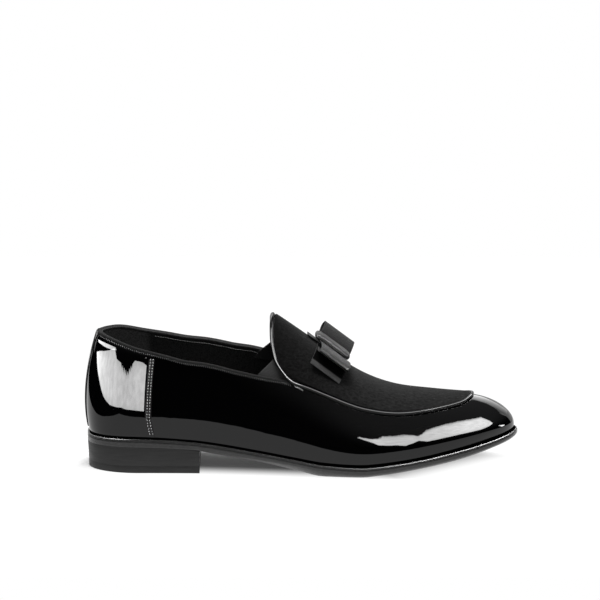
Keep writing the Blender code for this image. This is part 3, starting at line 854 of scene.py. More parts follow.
def nap_paint():
    paint = Paint(
        "nap_cloth", (0.012, 0.012, 0.013), 0.95, Specular_IOR_Level=0.0,
        Sheen_Weight=0.25, Sheen_Roughness=0.4,
    )
    # Painted light and shade: the nap is darker towards the tongue and lighter towards the toe, standing in
    # for the sheen and shade that fall on it.
    painted_light_share = paint.smooth(paint.axis("X"), NAP_PAINTED_LIGHT_SPAN, (0.5, 1.15))
    pile = paint.remapped(paint.noise(1.8, stretch=(0.7, 1.0, 1.0), detail=6.0, roughness=0.75), 0.002, 0.02)
    paint.link(paint.combined("MULTIPLY", pile, painted_light_share), "Base Color")
    brushed = paint.bump(paint.noise(3.0, stretch=(0.5, 1.0, 1.0)), 0.12, socket=None)
    paint.bump(paint.noise(0.45, stretch=(0.6, 1.0, 1.0)), 0.12, over=brushed)
    return paint.material


def ribbon_paint(name, direction, dark, light, **sockets):
    """Ribbon with fine ribs between two greys."""
    paint = Paint(name, (0.02, 0.02, 0.021), 0.4, **sockets)
    ribs = paint.ribs(RIB_PITCH, direction)
    paint.shade(ribs, dark, light)
    cloth = paint.bump(ribs, 0.045, socket=None)
    paint.bump(paint.noise(0.4), 0.03, over=cloth)
    return paint.material


def lower_ribbon_paint():
    """The ribbon of the lower loops, with painted shade and light: black where the upper loops keep the light
    off it, and paler than the other ribbons at the far end so that it reads as lit.
    """
    paint = Paint("lower_ribbon", (0.02, 0.02, 0.021), 0.6, Specular_IOR_Level=0.03)
    ribs = paint.ribs(RIB_PITCH, "X")
    # Painted light: several times paler than the other ribbons.
    grey = paint.remapped(ribs, 0.055, 0.085, 0.0, 1.0)
    light = paint.smooth(paint.axis("X", "UV"), LOOP_SHADED, (0.04, 1.0))
    paint.link(paint.combined("MULTIPLY", grey, light), "Base Color")
    paint.bump(ribs, 0.09)
    return paint.material


def tape_paint():
    paint = Paint("binding_tape", (0.02, 0.02, 0.021), 0.7, Specular_IOR_Level=0.08)
    cloth = paint.remapped(paint.noise(1.0, detail=4.0), 0.014, 0.032)
    # Painted light: the tape's inner leg, which faces away from the lamps, is made over three times lighter.
    painted_light_share = paint.smooth(paint.axis("Y", "UV"), TAPE_INSIDE_PAINTED_LIGHT, (1.0, 3.4))
    paint.link(paint.combined("MULTIPLY", cloth, painted_light_share), "Base Color")
    weave = paint.bump(paint.ribs(0.5, "X"), 0.05, socket=None)
    paint.bump(paint.noise(0.35), 0.08, over=weave)
    return paint.material


def elastic_paint():
    paint = Paint("elastic", (0.04, 0.04, 0.042), 0.8, Specular_IOR_Level=0.05)
    ribs = paint.ribs(0.9, "X")
    paint.shade(ribs, 0.05, 0.08)
    cloth = paint.bump(ribs, 0.12, socket=None)
    paint.bump(paint.noise(0.3), 0.06, over=cloth)
    return paint.material


def sole_edge_paint():
    paint = Paint(
        "sole_edge", (0.022, 0.022, 0.024), 0.36, Specular_IOR_Level=0.2, Coat_Weight=0.6, Coat_Roughness=0.26
    )
    paint.shade(paint.noise(0.9, stretch=(0.4, 0.4, 1.0), detail=6.0, roughness=0.7), 0.018, 0.044)
    paint.link(paint.remapped(paint.noise(2.0, detail=4.0), 0.28, 0.46), "Roughness")
    grain = paint.bump(paint.noise(0.9, stretch=(0.5, 0.5, 1.0), detail=4.0), 0.1, socket=None)
    fine = paint.bump(paint.noise(0.4), 0.04, over=grain)
    paint.link(fine, "Coat Normal")
    return paint.material


# Painted shade: the black of the welt's top stands in for the shadow in the gap under the upper's edge.
def seat_shade_paint():
    paint = Paint("welt_seat", (0.003, 0.003, 0.003), 0.8, Specular_IOR_Level=0.0)
    paint.bump(paint.noise(0.5, detail=4.0), 0.06)
    return paint.material


def heel_paint():
    paint = Paint("heel_stack", (0.03, 0.03, 0.032), 0.4, Specular_IOR_Level=0.15)
    paint.shade(paint.noise(1.1, stretch=(0.06, 0.06, 1.0), detail=6.0, roughness=0.7), 0.034, 0.047)
    paint.link(paint.remapped(paint.noise(3.0, stretch=(0.15, 0.15, 1.0)), 0.34, 0.5), "Roughness")
    layers = paint.bump(paint.noise(0.8, stretch=(0.03, 0.03, 1.0), detail=5.0), 0.03, socket=None)
    paint.bump(paint.noise(0.3), 0.015, over=layers)
    return paint.material


def lining_paint():
    paint = Paint("lining_leather", (0.012, 0.012, 0.013), 0.7, Specular_IOR_Level=0.06)
    # Partly painted shade: the heel's own lining panel is paler, and the lining in front of it is painted
    # darker to stand in for the shade inside the shoe.
    heel_panel_and_shade = paint.smooth(paint.axis("X"), LINING_POCKET_AND_SHADE, (1.2, 0.42))
    grain = paint.remapped(paint.noise(0.8, detail=5.0), 0.04, 0.15)
    paint.link(paint.combined("MULTIPLY", grain, heel_panel_and_shade), "Base Color")
    paint.bump(paint.noise(0.6, detail=4.0), 0.1)
    return paint.material


def insole_paint():
    paint = Paint("insole_leather", (0.015, 0.015, 0.016), 0.6)
    paint.shade(paint.noise(1.2, detail=5.0), 0.01, 0.022)
    paint.bump(paint.noise(0.7, detail=4.0), 0.08)
    return paint.material


def thread_paint():
    paint = Paint("thread", (0.03, 0.03, 0.032), 0.35, Coat_Weight=1.0, Coat_Roughness=0.12)
    paint.bump(paint.noise(0.3, stretch=(1.0, 1.0, 0.3)), 0.05)
    paint.shade(paint.noise(0.6), 0.02, 0.05)
    return paint.material


PATENT = patent_paint()
NAP = nap_paint()
RIBBON = ribbon_paint("ribbon", "X", 0.006, 0.015, Specular_IOR_Level=0.24, Sheen_Weight=0.04)
KNOT_RIBBON = ribbon_paint("knot_ribbon", "Y", 0.006, 0.015, Specular_IOR_Level=0.24, Sheen_Weight=0.04)
# Painted shade: a darker copy of the ribbon for the far wing, which faces away from the light.
FAR_RIBBON_SHADED = ribbon_paint("far_ribbon", "X", 0.003, 0.009, Specular_IOR_Level=0.16, Sheen_Weight=0.04)
LOWER_RIBBON_LIT_AND_SHADED = lower_ribbon_paint()
TAPE = tape_paint()
ELASTIC = elastic_paint()
SOLE_EDGE = sole_edge_paint()
SEAT_SHADE = seat_shade_paint()
HEEL = heel_paint()
LINING = lining_paint()
INSOLE = insole_paint()
THREAD = thread_paint()


# The upper

def tucked_wall(side, offset):
    """The patent wall, its lower edge turned in over the welt, its upper edge run on under the apron."""
    notch = walk_of(NOTCH_X)
    grid = []
    for walk in rear_walks()[:-1] + front_walks():
        edge = edge_angle(walk, side)
        aim = ray_at(walk, side).aim
        foot = surface(walk, side, 0.0, offset)
        column = [foot - np.array([*(aim * WALL_TURN_IN), WELT_DROP - 0.1])]
        column += [surface(walk, side, edge * s, offset) for s in shares(WALL_ROWS)]
        rim = edge if walk < notch - 1e-9 else edge + WALL_RUN_ON * edge / girth(walk, side, 0.0, edge)
        column.append(surface(walk, side, rim, offset - WALL_SINK))
        grid.append(column)
    return grid


def upper():
    pairs = [(tucked_wall(side, 0.0), tucked_wall(side, -PATENT_THICK)) for side in SIDES]
    return shell("upper_patent", pairs, PATENT, ["upper"])


def lining():
    pairs = []
    for side in SIDES:
        for grid in (wall_grid, top_grid, tongue_grid):
            pairs.append((grid(side, LINING_OUT), grid(side, LINING_IN)))
    return shell("lining", pairs, LINING, subdivisions=1)


def apron():
    room = PIPING_RADIUS * 0.9
    pairs = []
    for side in SIDES:
        for grid in (top_grid, tongue_grid):
            pairs.append((grid(side, GAP + APRON_THICK, room), grid(side, 0.1, room)))
    return shell("apron_nap", pairs, NAP, ["apron"])


def counter_offset(behind):
    """Height of the counter's face this far behind its front edge, which is pared thin."""
    return GAP + COUNTER_THICK - COUNTER_PARED * max(0.0, 1 - behind / COUNTER_SKIVE)


def counter():
    """Panel round the heel, below the binding, with closer columns where it is pared."""
    columns = [(share, COUNTER_SKIVE) for share in shares(14)]
    columns += [(1.0, behind) for behind in (3.4, 2.4, 1.4, 0.4, 0.0)]

    def point(side, inner, column, up):
        share, behind = column
        walk = share * walk_of(along(COUNTER_FRONT, "front_x", up) - behind)
        offset = 0.05 if inner else counter_offset(behind)
        return surface(walk, side, angle_below(walk, side, BINDING_LEG - 0.4) * up, offset)

    pairs = [two_faces(point, side, (False, True), columns, shares(WALL_ROWS)) for side in SIDES]
    return shell("counter_panel", pairs, PATENT, ["counter"])


def backstay():
    """Strip up the centre back, over the counter and the binding."""
    low = GAP + COUNTER_THICK
    edge = edge_angle(0.0, LATERAL)

    def point(side, offset, across, up):
        centre = surface(0.0, side, edge * up)
        beside = np.linalg.norm(surface(SHORT_WALK, side, edge * up) - centre)
        walk = SHORT_WALK * along(BACKSTAY, "half_width", centre[2]) / beside
        return surface(walk * across, side, edge * up, offset)

    offsets = (low + BACKSTAY_THICK, low - 0.3)
    rows = shares(18, BACKSTAY_START, 1.0)
    pairs = [two_faces(point, side, offsets, (0.0, 0.35, 0.7, 0.92, 1.0), rows) for side in SIDES]
    return shell("backstay_strip", pairs, PATENT, ["backstay"])


def gore_point(side, offset, along_share, up_share):
    rear, front = [
        [low + (high - low) * up_share for low, high in zip(GORE_LOWER[end], GORE_UPPER[end])]
        for end in (0, 1)
    ]
    x, over_notch = [a + (b - a) * along_share for a, b in zip(rear, front)]
    walk = walk_of(x)
    height = getattr(COLLAR[-1], SIDE_NAMES[side] + "_z") + over_notch
    return surface(walk, side, angle_at_height(walk, side, height), offset)


def gore(side):
    """Elastic panel inside the wall, across the notch."""
    faces = two_faces(gore_point, side, (GORE_OUT, GORE_OUT - GORE_THICK), shares(10), shares(6))
    node = "gore_" + SIDE_NAMES[side]
    return shell(node + "_elastic", [faces], ELASTIC, [node], 2, True)


def binding():
    """Tape folded over the collar's edge: a leg down the outside, a cap over the rim and a leg inside."""
    outer = GAP + BINDING_THICK
    inside = LINING_IN - 0.1
    top = BINDING_CAP
    legs = [
        (0.1, -BINDING_LEG),
        (outer * 0.75, -BINDING_LEG),
        (outer, -BINDING_LEG + 0.5),
        (outer, 0.0),
        (outer * 0.5, top * 0.8),
        (LINING_IN / 2, top),
        (inside - 0.4, top * 0.8),
        (inside - 0.7, 0.0),
        (inside - 0.6, -BINDING_INNER_LEG),
        (inside, -BINDING_INNER_LEG),
        (inside, 0.0),
        (0.1, 0.0),
    ]
    rings = []
    for walk, side in both_ways(shares(BINDING_COLUMNS, 0.0, walk_of(BINDING_END_X))):
        edge = edge_angle(walk, side)
        rim = surface(walk, side, edge)
        out = normal(walk, side, edge)
        below = surface(walk, side, edge - 0.02)
        up = (rim - below) / np.linalg.norm(rim - below)
        ring = []
        for away, rise in legs:
            if rise < 0:
                ring.append(surface(walk, side, angle_below(walk, side, -rise), away))
            else:
                ring.append(rim + out * away + up * rise)
        rings.append(ring + ring[:1])
    return swept("collar_tape", rings, TAPE, ["collar_binding"])


def piping_route():
    """Closed line round the apron: seam to the notch, over the tongue's free edge and back."""
    clear = PIPING_RADIUS - 0.3
    walks = list(reversed(shares(SEAM_POINTS, walk_of(NOTCH_X), 1.0)))
    halves = {}
    for side in SIDES:
        seam = [surface(walk, side, edge_angle(walk, side), clear) for walk in walks]
        tongue = []
        for up in shares(TONGUE_POINTS)[1:]:
            slipped = min(1.0, max(0.0, (up - PIPING_SLIP_START) / PIPING_SLIP_LENGTH))
            edge_x = along(TONGUE_EDGE, "edge_x", up) - clear * slipped
            tongue.append(tongue_point(side, up, edge_x, clear * (1 - PIPING_SINK * slipped)))
        halves[side] = seam + tongue
    return halves[LATERAL] + list(reversed(halves[MEDIAL]))[1:-1]


def evenly(points, step, closed):
    """Points a step apart along a line."""
    points = np.array(list(points) + (list(points[:1]) if closed else []), float)
    at_points = lengths(points)
    count = max(2, int(at_points[-1] // step))
    return at_lengths(points, at_points, np.linspace(0.0, at_points[-1], count, endpoint=not closed))


def eased(points, rounds):
    """A closed line with its corners eased."""
    for _ in range(rounds):
        points = (np.roll(points, 1, axis=0) + 2 * points + np.roll(points, -1, axis=0)) / 4
    return points


def piping():
    route = eased(evenly(piping_route(), CORD_STEP, True), 3)
    mesh = bmesh.new()
    tube(mesh, route, PIPING_RADIUS, closed=True)
    bmesh.ops.remove_doubles(mesh, verts=mesh.verts, dist=SAME_POINT)
    return finished("piping_cord", mesh, PATENT, ["piping"], 1)


# The sole

def past_feather(ray, out_of):
    """How far along a ray a line lies that stands out of the feather line by a function of x."""
    feather = ray.reach - ray.tuck
    return feather + out_of(ray.start[0] + ray.aim[0] * feather)


def under_point(ray, out, depth):
    """The point this far along a ray and this deep below the feather line."""
    plan = ray.start + ray.aim * out
    return plan[0], plan[1], along(SOLE, "feather_z", plan[0]) - depth


def sole_grid(walks, levels, rib=4):
    """A sole layer through levels, top first: how far each stands out of the feather line, and its height."""
    grid = []
    for walk, side in both_ways(walks):
        ray = ray_at(walk, side)
        row = []
        for k, (out_of, height_of) in enumerate(levels):
            out = past_feather(ray, out_of)
            first, last = (0, rib) if k == 0 else (rib, 0) if k == len(levels) - 1 else (rib, rib)
            step = 1 if first <= last else -1
            for share in range(first, last + step, step):
                plan = ray.start + ray.aim * out * share / rib
                row.append((plan[0], plan[1], height_of(plan[0])))
        grid.append(row)
    return grid


def plate(name, walks, levels, material, replaced, sharp_degrees=35):
    mesh = bmesh.new()
    add_grid(mesh, sole_grid(walks, levels))
    close_up(mesh)
    return finished(name, mesh, material, replaced, 0, sharp_degrees)


def under_feather(depth):
    return lambda x: along(SOLE, "feather_z", x) - depth


def margin_less(inset):
    return lambda x: along(SOLE, "margin", x) - inset


def band_height(share, top):
    """Height at this share of the way down the sole's square band."""
    def height(x):
        upper_line = along(SOLE, "feather_z", x) - top
        return upper_line + (along(SOLE, "band_z", x) - upper_line) * share
    return height


def bevel_place(share, inset=0.0):
    return lambda x: along(SOLE, "margin", x) - inset - along(SOLE, "bevel", x) * share


def bevel_height(share):
    def height(x):
        band, bottom = along(SOLE, "band_z", x), along(SOLE, "bottom_z", x)
        return band + (bottom - band) * share
    return height


def rounded(count, radius):
    """Insets and depths of a rounded edge, from its upper face to its side."""
    turns = [math.pi / 2 * k / count for k in range(count + 1)]
    return [(radius * (1 - math.sin(turn)), radius * (1 - math.cos(turn))) for turn in turns]


def welt():
    edge = rounded(4, WELT_ROUND)
    levels = [(margin_less(inset), under_feather(WELT_DROP + depth)) for inset, depth in edge]
    levels += [
        (margin_less(0.0), under_feather(GAP + WELT_THICK - 0.1)),
        (margin_less(0.1), under_feather(GAP + WELT_THICK)),
    ]
    return plate("welt_edge", shares(SOLE_COLUMNS), levels, SOLE_EDGE, ["welt"])


def welt_seat():
    """A black sheet over the top of the welt, between its edge and the upper: painted shade for the dark gap
    under the upper's edge.
    """
    def point(depth, stop, at_edge):
        ray = ray_at(*stop)
        if at_edge:
            return under_point(ray, past_feather(ray, margin_less(0.0)) - WELT_ROUND, depth)
        return under_point(ray, past_feather(ray, lambda x: -WELT_SEAT_UNDER), depth)

    stops = both_ways(shares(SOLE_COLUMNS))
    depths = (WELT_DROP - 0.05, WELT_DROP + 0.1)
    faces = [[[point(depth, stop, edge) for edge in (False, True)] for stop in stops] for depth in depths]
    return shell("welt_seat", [faces], SEAT_SHADE, (), 0)


def outsole():
    top = GAP + WELT_THICK + 0.02
    levels = [
        (margin_less(0.12), under_feather(top)),
        (margin_less(0.02), under_feather(top + 0.15)),
        (margin_less(0.0), band_height(0.35, top)),
        (margin_less(0.05), band_height(0.85, top)),
        (bevel_place(0.04), band_height(1.0, top)),
        (bevel_place(0.35), bevel_height(0.5)),
        (bevel_place(0.7), bevel_height(0.85)),
        (bevel_place(1.0), bevel_height(1.0)),
    ]
    return plate("sole", shares(SOLE_COLUMNS), levels, SOLE_EDGE, ["outsole"])


def insole():
    edge = LINING_IN - INSOLE_CLEAR
    levels = []
    for inset, depth in rounded(3, SMALL_ROUND):
        levels.append((lambda x, inset=inset: edge - inset, under_feather(depth - INSOLE_THICK)))
    levels.append((lambda x: edge, under_feather(0.0)))
    return plate("insole_sock", shares(SOLE_COLUMNS), levels, INSOLE, ["insole"], 60)


def heel_levels(top_of, bottom):
    """Levels of the heel block, rounded at both ends."""
    levels = []
    for part, inset in HEEL_SIDE:
        place = margin_less(HEEL_SET_IN + (HEEL_TAPER - HEEL_SET_IN) * part + inset)
        levels.append((place, lambda x, part=part: top_of(x) + (bottom - top_of(x)) * part))
    return levels


def heel():
    walks = shares(40, 0.0, walk_of(BREAST_X))
    block = heel_levels(lambda x: along(SOLE, "bottom_z", x) - 0.05, LIFT_THICK + 0.02)
    plate("heel_stacked", walks, block, HEEL, ["heel_block"])
    side = [(0.06, LIFT_THICK), (0.0, LIFT_THICK - 0.15), *reversed(rounded(3, SMALL_ROUND))]
    lift = [(margin_less(HEEL_TAPER + inset), lambda x, height=height: height) for inset, height in side]
    plate("heel_lift", walks, lift, HEEL, ["heel_top_lift"])


# The bow

def bow_frame():
    """The bow's place on the apron's ridge, and its directions along, across and out of the slope."""
    walk = walk_of(BOW_X)
    ahead, behind = [
        surface(walk_of(BOW_X + step), LATERAL, math.pi / 2) for step in (BOW_SLOPE_SPAN, -BOW_SLOPE_SPAN)
    ]
    forward = (ahead - behind) / np.linalg.norm(ahead - behind)
    across = np.array([0.0, 1.0, 0.0])
    out = np.cross(forward, across)
    place = surface(walk, LATERAL, math.pi / 2) + out * (GAP + APRON_THICK)
    return place, np.array([forward, across, out])


def ribbon_ring(name, outer, inner, stations, place_of, replaced, material):
    """A closed band of ribbon: its profile swept through stations across its width."""
    place, turn = bow_frame()
    grids = []
    for ring in (outer, inner):
        grid = []
        for point in ring + ring[:1]:
            grid.append([place + np.array(place_of(point, station)) @ turn for station in stations])
        grids.append(grid)
    return shell(name, [grids], material, replaced, 2, True)


def bow_loop(loop, material):
    """A ribbon that leaves the knot, folds back at its far end and returns."""
    half = RIBBON_WIDTH / 2
    near = KNOT_SIZE[1] / 2 + GAP - LOOP_TUCK
    turns = np.linspace(0.0, 2 * math.pi, LOOP_POINTS, endpoint=False)

    def ring(inset):
        points = []
        for angle in turns:
            out_share = (1 - math.cos(angle)) / 2
            lean = math.copysign(abs(math.sin(angle)) ** loop.flatness, math.sin(angle))
            height = (loop.half_height - inset) * (1 - loop.pinch * (1 - out_share)) * lean
            reach = near + inset + (loop.far - near - 2 * inset) * out_share
            along_loop = (reach - near) / (loop.far - near)
            middle = loop.near_out + (loop.far_out - loop.near_out) * along_loop**loop.droop
            seen_side = out_share if loop.side == LATERAL else (1 + lean) / 2
            points.append((loop.side * reach, middle + height, seen_side))
        return points

    def place_of(point, station):
        rear = max(0.0, -station / half) ** 2
        return loop.forward + station + loop.rear_cut * rear * point[2], point[0], point[1]

    stations = [half * s for s in RIBBON_STATIONS]
    return ribbon_ring(
        loop.name + "_ribbon", ring(0.0), ring(RIBBON_THICK), stations, place_of, [loop.name], material
    )


def bow_knot():
    """The band round the bow's middle, full of the loops' ends."""
    place, turn = bow_frame()
    half_long, half_wide, half_high = [size / 2 for size in KNOT_SIZE]
    along_power, out_power = KNOT_POWERS
    turns = np.linspace(0.0, 2 * math.pi, LOOP_POINTS + 1)
    rings = []
    for across, inset in KNOT_STATIONS:
        ring = []
        for angle in turns:
            c, s = math.cos(angle), math.sin(angle)
            forward = KNOT_PLACE[0] + math.copysign(abs(c) ** along_power, c) * (half_long - inset)
            out = KNOT_PLACE[1] + math.copysign(abs(s) ** out_power, s) * (half_high - inset)
            ring.append(place + np.array([forward, across * half_wide, out]) @ turn)
        rings.append(ring)
    return swept("bow_knot_ribbon", rings, KNOT_RIBBON, ["bow_knot"])


def bow_base():
    """The strip under the bow, whose end shows behind the knot."""
    half_long, half_wide, half_high = [size / 2 for size in BASE_SIZE]

    def point(bow, out, forward, across):
        place, turn = bow
        local = (BASE_PLACE[0] + half_long * forward, half_wide * across, BASE_PLACE[1] + out)
        return place + np.array(local) @ turn

    columns = (-1.0, -0.97, -0.5, 0.0, 0.5, 0.97, 1.0)
    rows = (-1.0, -0.94, 0.0, 0.94, 1.0)
    faces = two_faces(point, bow_frame(), (half_high, -half_high), columns, rows)
    return shell("bow_base_ribbon", [faces], RIBBON, ["bow_base"], 2, True)


# Stitches

def stitch_row(name, side, spots, offset, size, facing=1):
    """Stitches through walks and angles of a side, each a short thread that dips in at both ends."""
    pitch, length, radius = size
    points = np.array([surface(walk, side, angle, offset) for walk, angle in spots])
    outwards = np.array([facing * normal(walk, side, angle) for walk, angle in spots])
    at_points = lengths(points)
    mesh = bmesh.new()
    for start in np.arange(pitch / 2, at_points[-1] - length, pitch):
        at = start + length * np.array([0.0, 0.2, 0.5, 0.8, 1.0])
        lift = radius * np.array([-0.9, 0.3, 0.55, 0.3, -0.9])
        line = at_lengths(points, at_points, at) + at_lengths(outwards, at_points, at) * lift[:, None]
        tube(mesh, line, radius * np.array([0.6, 0.95, 1.0, 0.95, 0.6]), sides=6)
    close_up(mesh)
    return finished(name, mesh, THREAD)


def counter_stitches():
    made = []
    for side in SIDES:
        for row, behind in enumerate(COUNTER_ROWS):
            spots = []
            for up in shares(40, 0.02, 0.97):
                walk = walk_of(along(COUNTER_FRONT, "front_x", up) - behind)
                spots.append((walk, angle_below(walk, side, BINDING_LEG) * up))
            name = f"counter_stitches_{SIDE_NAMES[side]}_{row}"
            over = counter_offset(behind)
            made.append(stitch_row(name, side, spots, over, COUNTER_STITCH))
    return made


def collar_stitches():
    """Fine overcast stitches across the binding's lower edge."""
    made = []
    for side in SIDES:
        mesh = bmesh.new()
        walks = shares(200, walk_of(COLLAR_STITCH_X), walk_of(BINDING_END_X))
        at_seat = lengths([surface(walk, side, edge_angle(walk, side)) for walk in walks])
        for at in np.arange(1.0, at_seat[-1], COLLAR_PITCH):
            line = []
            for share in (0.0, 0.3, 0.6, 1.0):
                walk = float(np.interp(at + COLLAR_SLANT * share, at_seat, walks))
                angle = angle_below(walk, side, BINDING_LEG - COLLAR_ABOVE + COLLAR_REACH * share)
                low = GAP + COUNTER_THICK if ray_at(walk, side).x < COUNTER_FRONT[-1].front_x else 0.1
                over = max(low, GAP + BINDING_THICK) if share < 0.5 else low
                lift = 0.0 if share in (0.0, 1.0) else COLLAR_LIFT
                line.append(surface(walk, side, angle, over + lift))
            tube(mesh, line, COLLAR_THREAD * np.array([0.6, 1.0, 1.0, 0.6]), sides=6)
        close_up(mesh)
        made.append(finished(f"collar_stitches_{SIDE_NAMES[side]}", mesh, THREAD))
    return made


def lining_stitches():
    """A row of dull stitches below the binding, on the inside."""
    made = []
    for side in SIDES:
        walks = shares(90, walk_of(LINING_STITCH_X), walk_of(BINDING_END_X))
        spots = [(walk, angle_below(walk, side, LINING_STITCH_DEPTH)) for walk in walks]
        name = f"lining_stitches_{SIDE_NAMES[side]}"
        made.append(stitch_row(name, side, spots, LINING_IN, LINING_STITCH, -1))
    return made


def bar_tack():
    """The short bar of thread on both quarters that holds the throat, right below the piping."""
    mesh = bmesh.new()
    first, last = [lateral_place(np.array(pixel)) for pixel in BAR_TACK]
    for side in SIDES:
        lower_by = edge_angle(walk_of(NOTCH_X), side) / edge_angle(walk_of(NOTCH_X), LATERAL)
        line = []
        for share in shares(8):
            walk, angle = [a + (b - a) * share for a, b in zip(first, last)]
            line.append(surface(walk, side, angle * lower_by, BAR_TACK_LIFT))
        taper = np.array([0.5, 0.9, 1.0, 1.0, 1.0, 1.0, 1.0, 0.9, 0.5])
        tube(mesh, line, BAR_TACK_RADIUS * taper, sides=8)
    close_up(mesh)
    return finished("bar_tack", mesh, THREAD, (), 1)


# Camera, floor and light

def camera():
    data = bpy.data.cameras.new("camera")
    data.lens = LENS_MM
    data.sensor_width = SENSOR_MM
    holder = placed("camera", data)
    width = PHOTO_SIDE * MM_PER_PIXEL * MM
    away = width * LENS_MM / SENSOR_MM
    middle = PHOTO_SIDE / 2
    aim = Vector((
        (middle - PHOTO_X_ZERO) * MM_PER_PIXEL * MM,
        0.0,
        (PHOTO_FLOOR - middle) * MM_PER_PIXEL * MM / math.cos(ELEVATION),
    ))
    back = Vector((0.0, -math.cos(ELEVATION), math.sin(ELEVATION)))
    holder.location = aim + back * away
    holder.rotation_euler = (-back).to_track_quat("-Z", "Y").to_euler()
    data.clip_end = 50.0
    bpy.context.scene.camera = holder


def stage_mesh(name, verts, faces):
    data = bpy.data.meshes.new(name)
    data.from_pydata([tuple(v) for v in verts], [], faces)
    piece = placed(name, data)
    return piece


def floor():
    """A pale floor that glows white round the shoe, a painted light, its glow fading below the shoe into a
    painted shadow where the lamps' own shadow also falls.
    """
    paint = Paint("floor", (FLOOR_GREY, FLOOR_GREY, FLOOR_GREY), 0.9, Specular_IOR_Level=0.0)
    share = None
    # Painted light and shadow: the floor's glow is set by place, so the edge of the shadow below the shoe is
    # painted.
    for direction, span in FLOOR_GLOW_FADES:
        white = paint.smooth(paint.reach("Object", direction), span, (FLOOR_LEAST_GLOW, 1.0))
        share = white if share is None else paint.combined("MAXIMUM", share, white)
    paint.link(share, "Emission Strength")
    paint.shader.inputs["Emission Color"].default_value = (FLOOR_WHITE, FLOOR_WHITE, FLOOR_WHITE, 1.0)
    paint.link(paint.remapped(share, FLOOR_GREY, 0.0, 0.0, 1.0), "Base Color")
    front, back = FLOOR_ENDS
    left, right = FLOOR_SIDES
    corners = [(left, front, 0.0), (right, front, 0.0), (right, back, 0.0), (left, back, 0.0)]
    piece = stage_mesh("floor", corners, [(0, 1, 2, 3)])
    piece.data.materials.append(paint.material)


def glow(name):
    """Light about as strong as the card's own attribute says at each place, a little uneven.

    What lies behind the card shows through it.
    """
    material = bpy.data.materials.new(name)
    material.use_nodes = True
    nodes = Nodes(material.node_tree)
    nodes.tree.nodes.clear()
    strength = nodes.node("Attribute", attribute_name="glow").outputs["Fac"]
    cloud = nodes.node("TexNoise", Vector=nodes.place(), Scale=CARD_CLOUD_SCALE, Detail=5.0).outputs["Fac"]
    light = nodes.combined("MULTIPLY", strength, nodes.remapped(cloud, *CARD_CLOUD))
    emission = nodes.node("Emission", Strength=light).outputs["Emission"]
    clear = nodes.node("BsdfTransparent").outputs["BSDF"]
    both = nodes.paired("AddShader", (0, 1), emission, clear).outputs["Shader"]
    nodes.node("OutputMaterial", Surface=both)
    return material


def card(name, verts, faces, strengths):
    """A card that only shows in reflections, with its strength at each vertex."""
    piece = stage_mesh(name, verts, faces)
    attribute = piece.data.attributes.new("glow", "FLOAT", "POINT")
    attribute.data.foreach_set("value", np.array(strengths, np.float32))
    piece.data.materials.append(glow(name))
    piece.visible_camera = False
    piece.visible_diffuse = False
    piece.visible_shadow = False
    return piece


def wall_card(name, start, end, height, strengths):
    """An upright card between two points of the floor, with the strength at each."""
    verts = [start, end, (end[0], end[1], height), (start[0], start[1], height)]
    first, last = strengths
    return card(name, verts, [(0, 1, 2, 3)], [first, last, last, first])


def projected(point):
    """The photo's pixel that shows a point of the last."""
    x, y, z = np.asarray(point) + SHIFT / MM
    up = z * math.cos(ELEVATION) + y * math.sin(ELEVATION)
    return np.array([PHOTO_X_ZERO + x / MM_PER_PIXEL, PHOTO_FLOOR - up / MM_PER_PIXEL])


def lateral_place(pixel):
    """Walk and angle of the lateral point that a pixel of the photo shows."""
    walk, angle, step = walk_of((pixel[0] - PHOTO_X_ZERO) * MM_PER_PIXEL), 0.35, 1e-4
    for _ in range(20):
        here = projected(bare(walk, LATERAL, angle))
        by_walk = (projected(bare(walk + step, LATERAL, angle)) - here) / step
        by_angle = (projected(bare(walk, LATERAL, angle + step)) - here) / step
        move = np.linalg.lstsq(np.stack([by_walk, by_angle], axis=1), pixel - here, rcond=None)[0]
        walk = min(0.995, max(0.005, walk + float(np.clip(move[0], -0.04, 0.04))))
        angle = min(1.5, max(0.01, angle + float(np.clip(move[1], -0.15, 0.15))))
    return walk, angle


def bounced(facing):
    """The direction that the camera looks in after a gloss that faces this way."""
    sight = np.array([0.0, math.cos(ELEVATION), -math.sin(ELEVATION)])
    return sight - 2 * (sight @ facing) * facing


def mirrored(pixel, away):
    """The place, in metres, that the gloss reflects at a pixel of the photo, this far off."""
    walk, angle = lateral_place(np.array(pixel, float))
    back = bounced(normal(walk, LATERAL, angle))
    return np.array(to_frame(bare(walk, LATERAL, angle))) + back * away


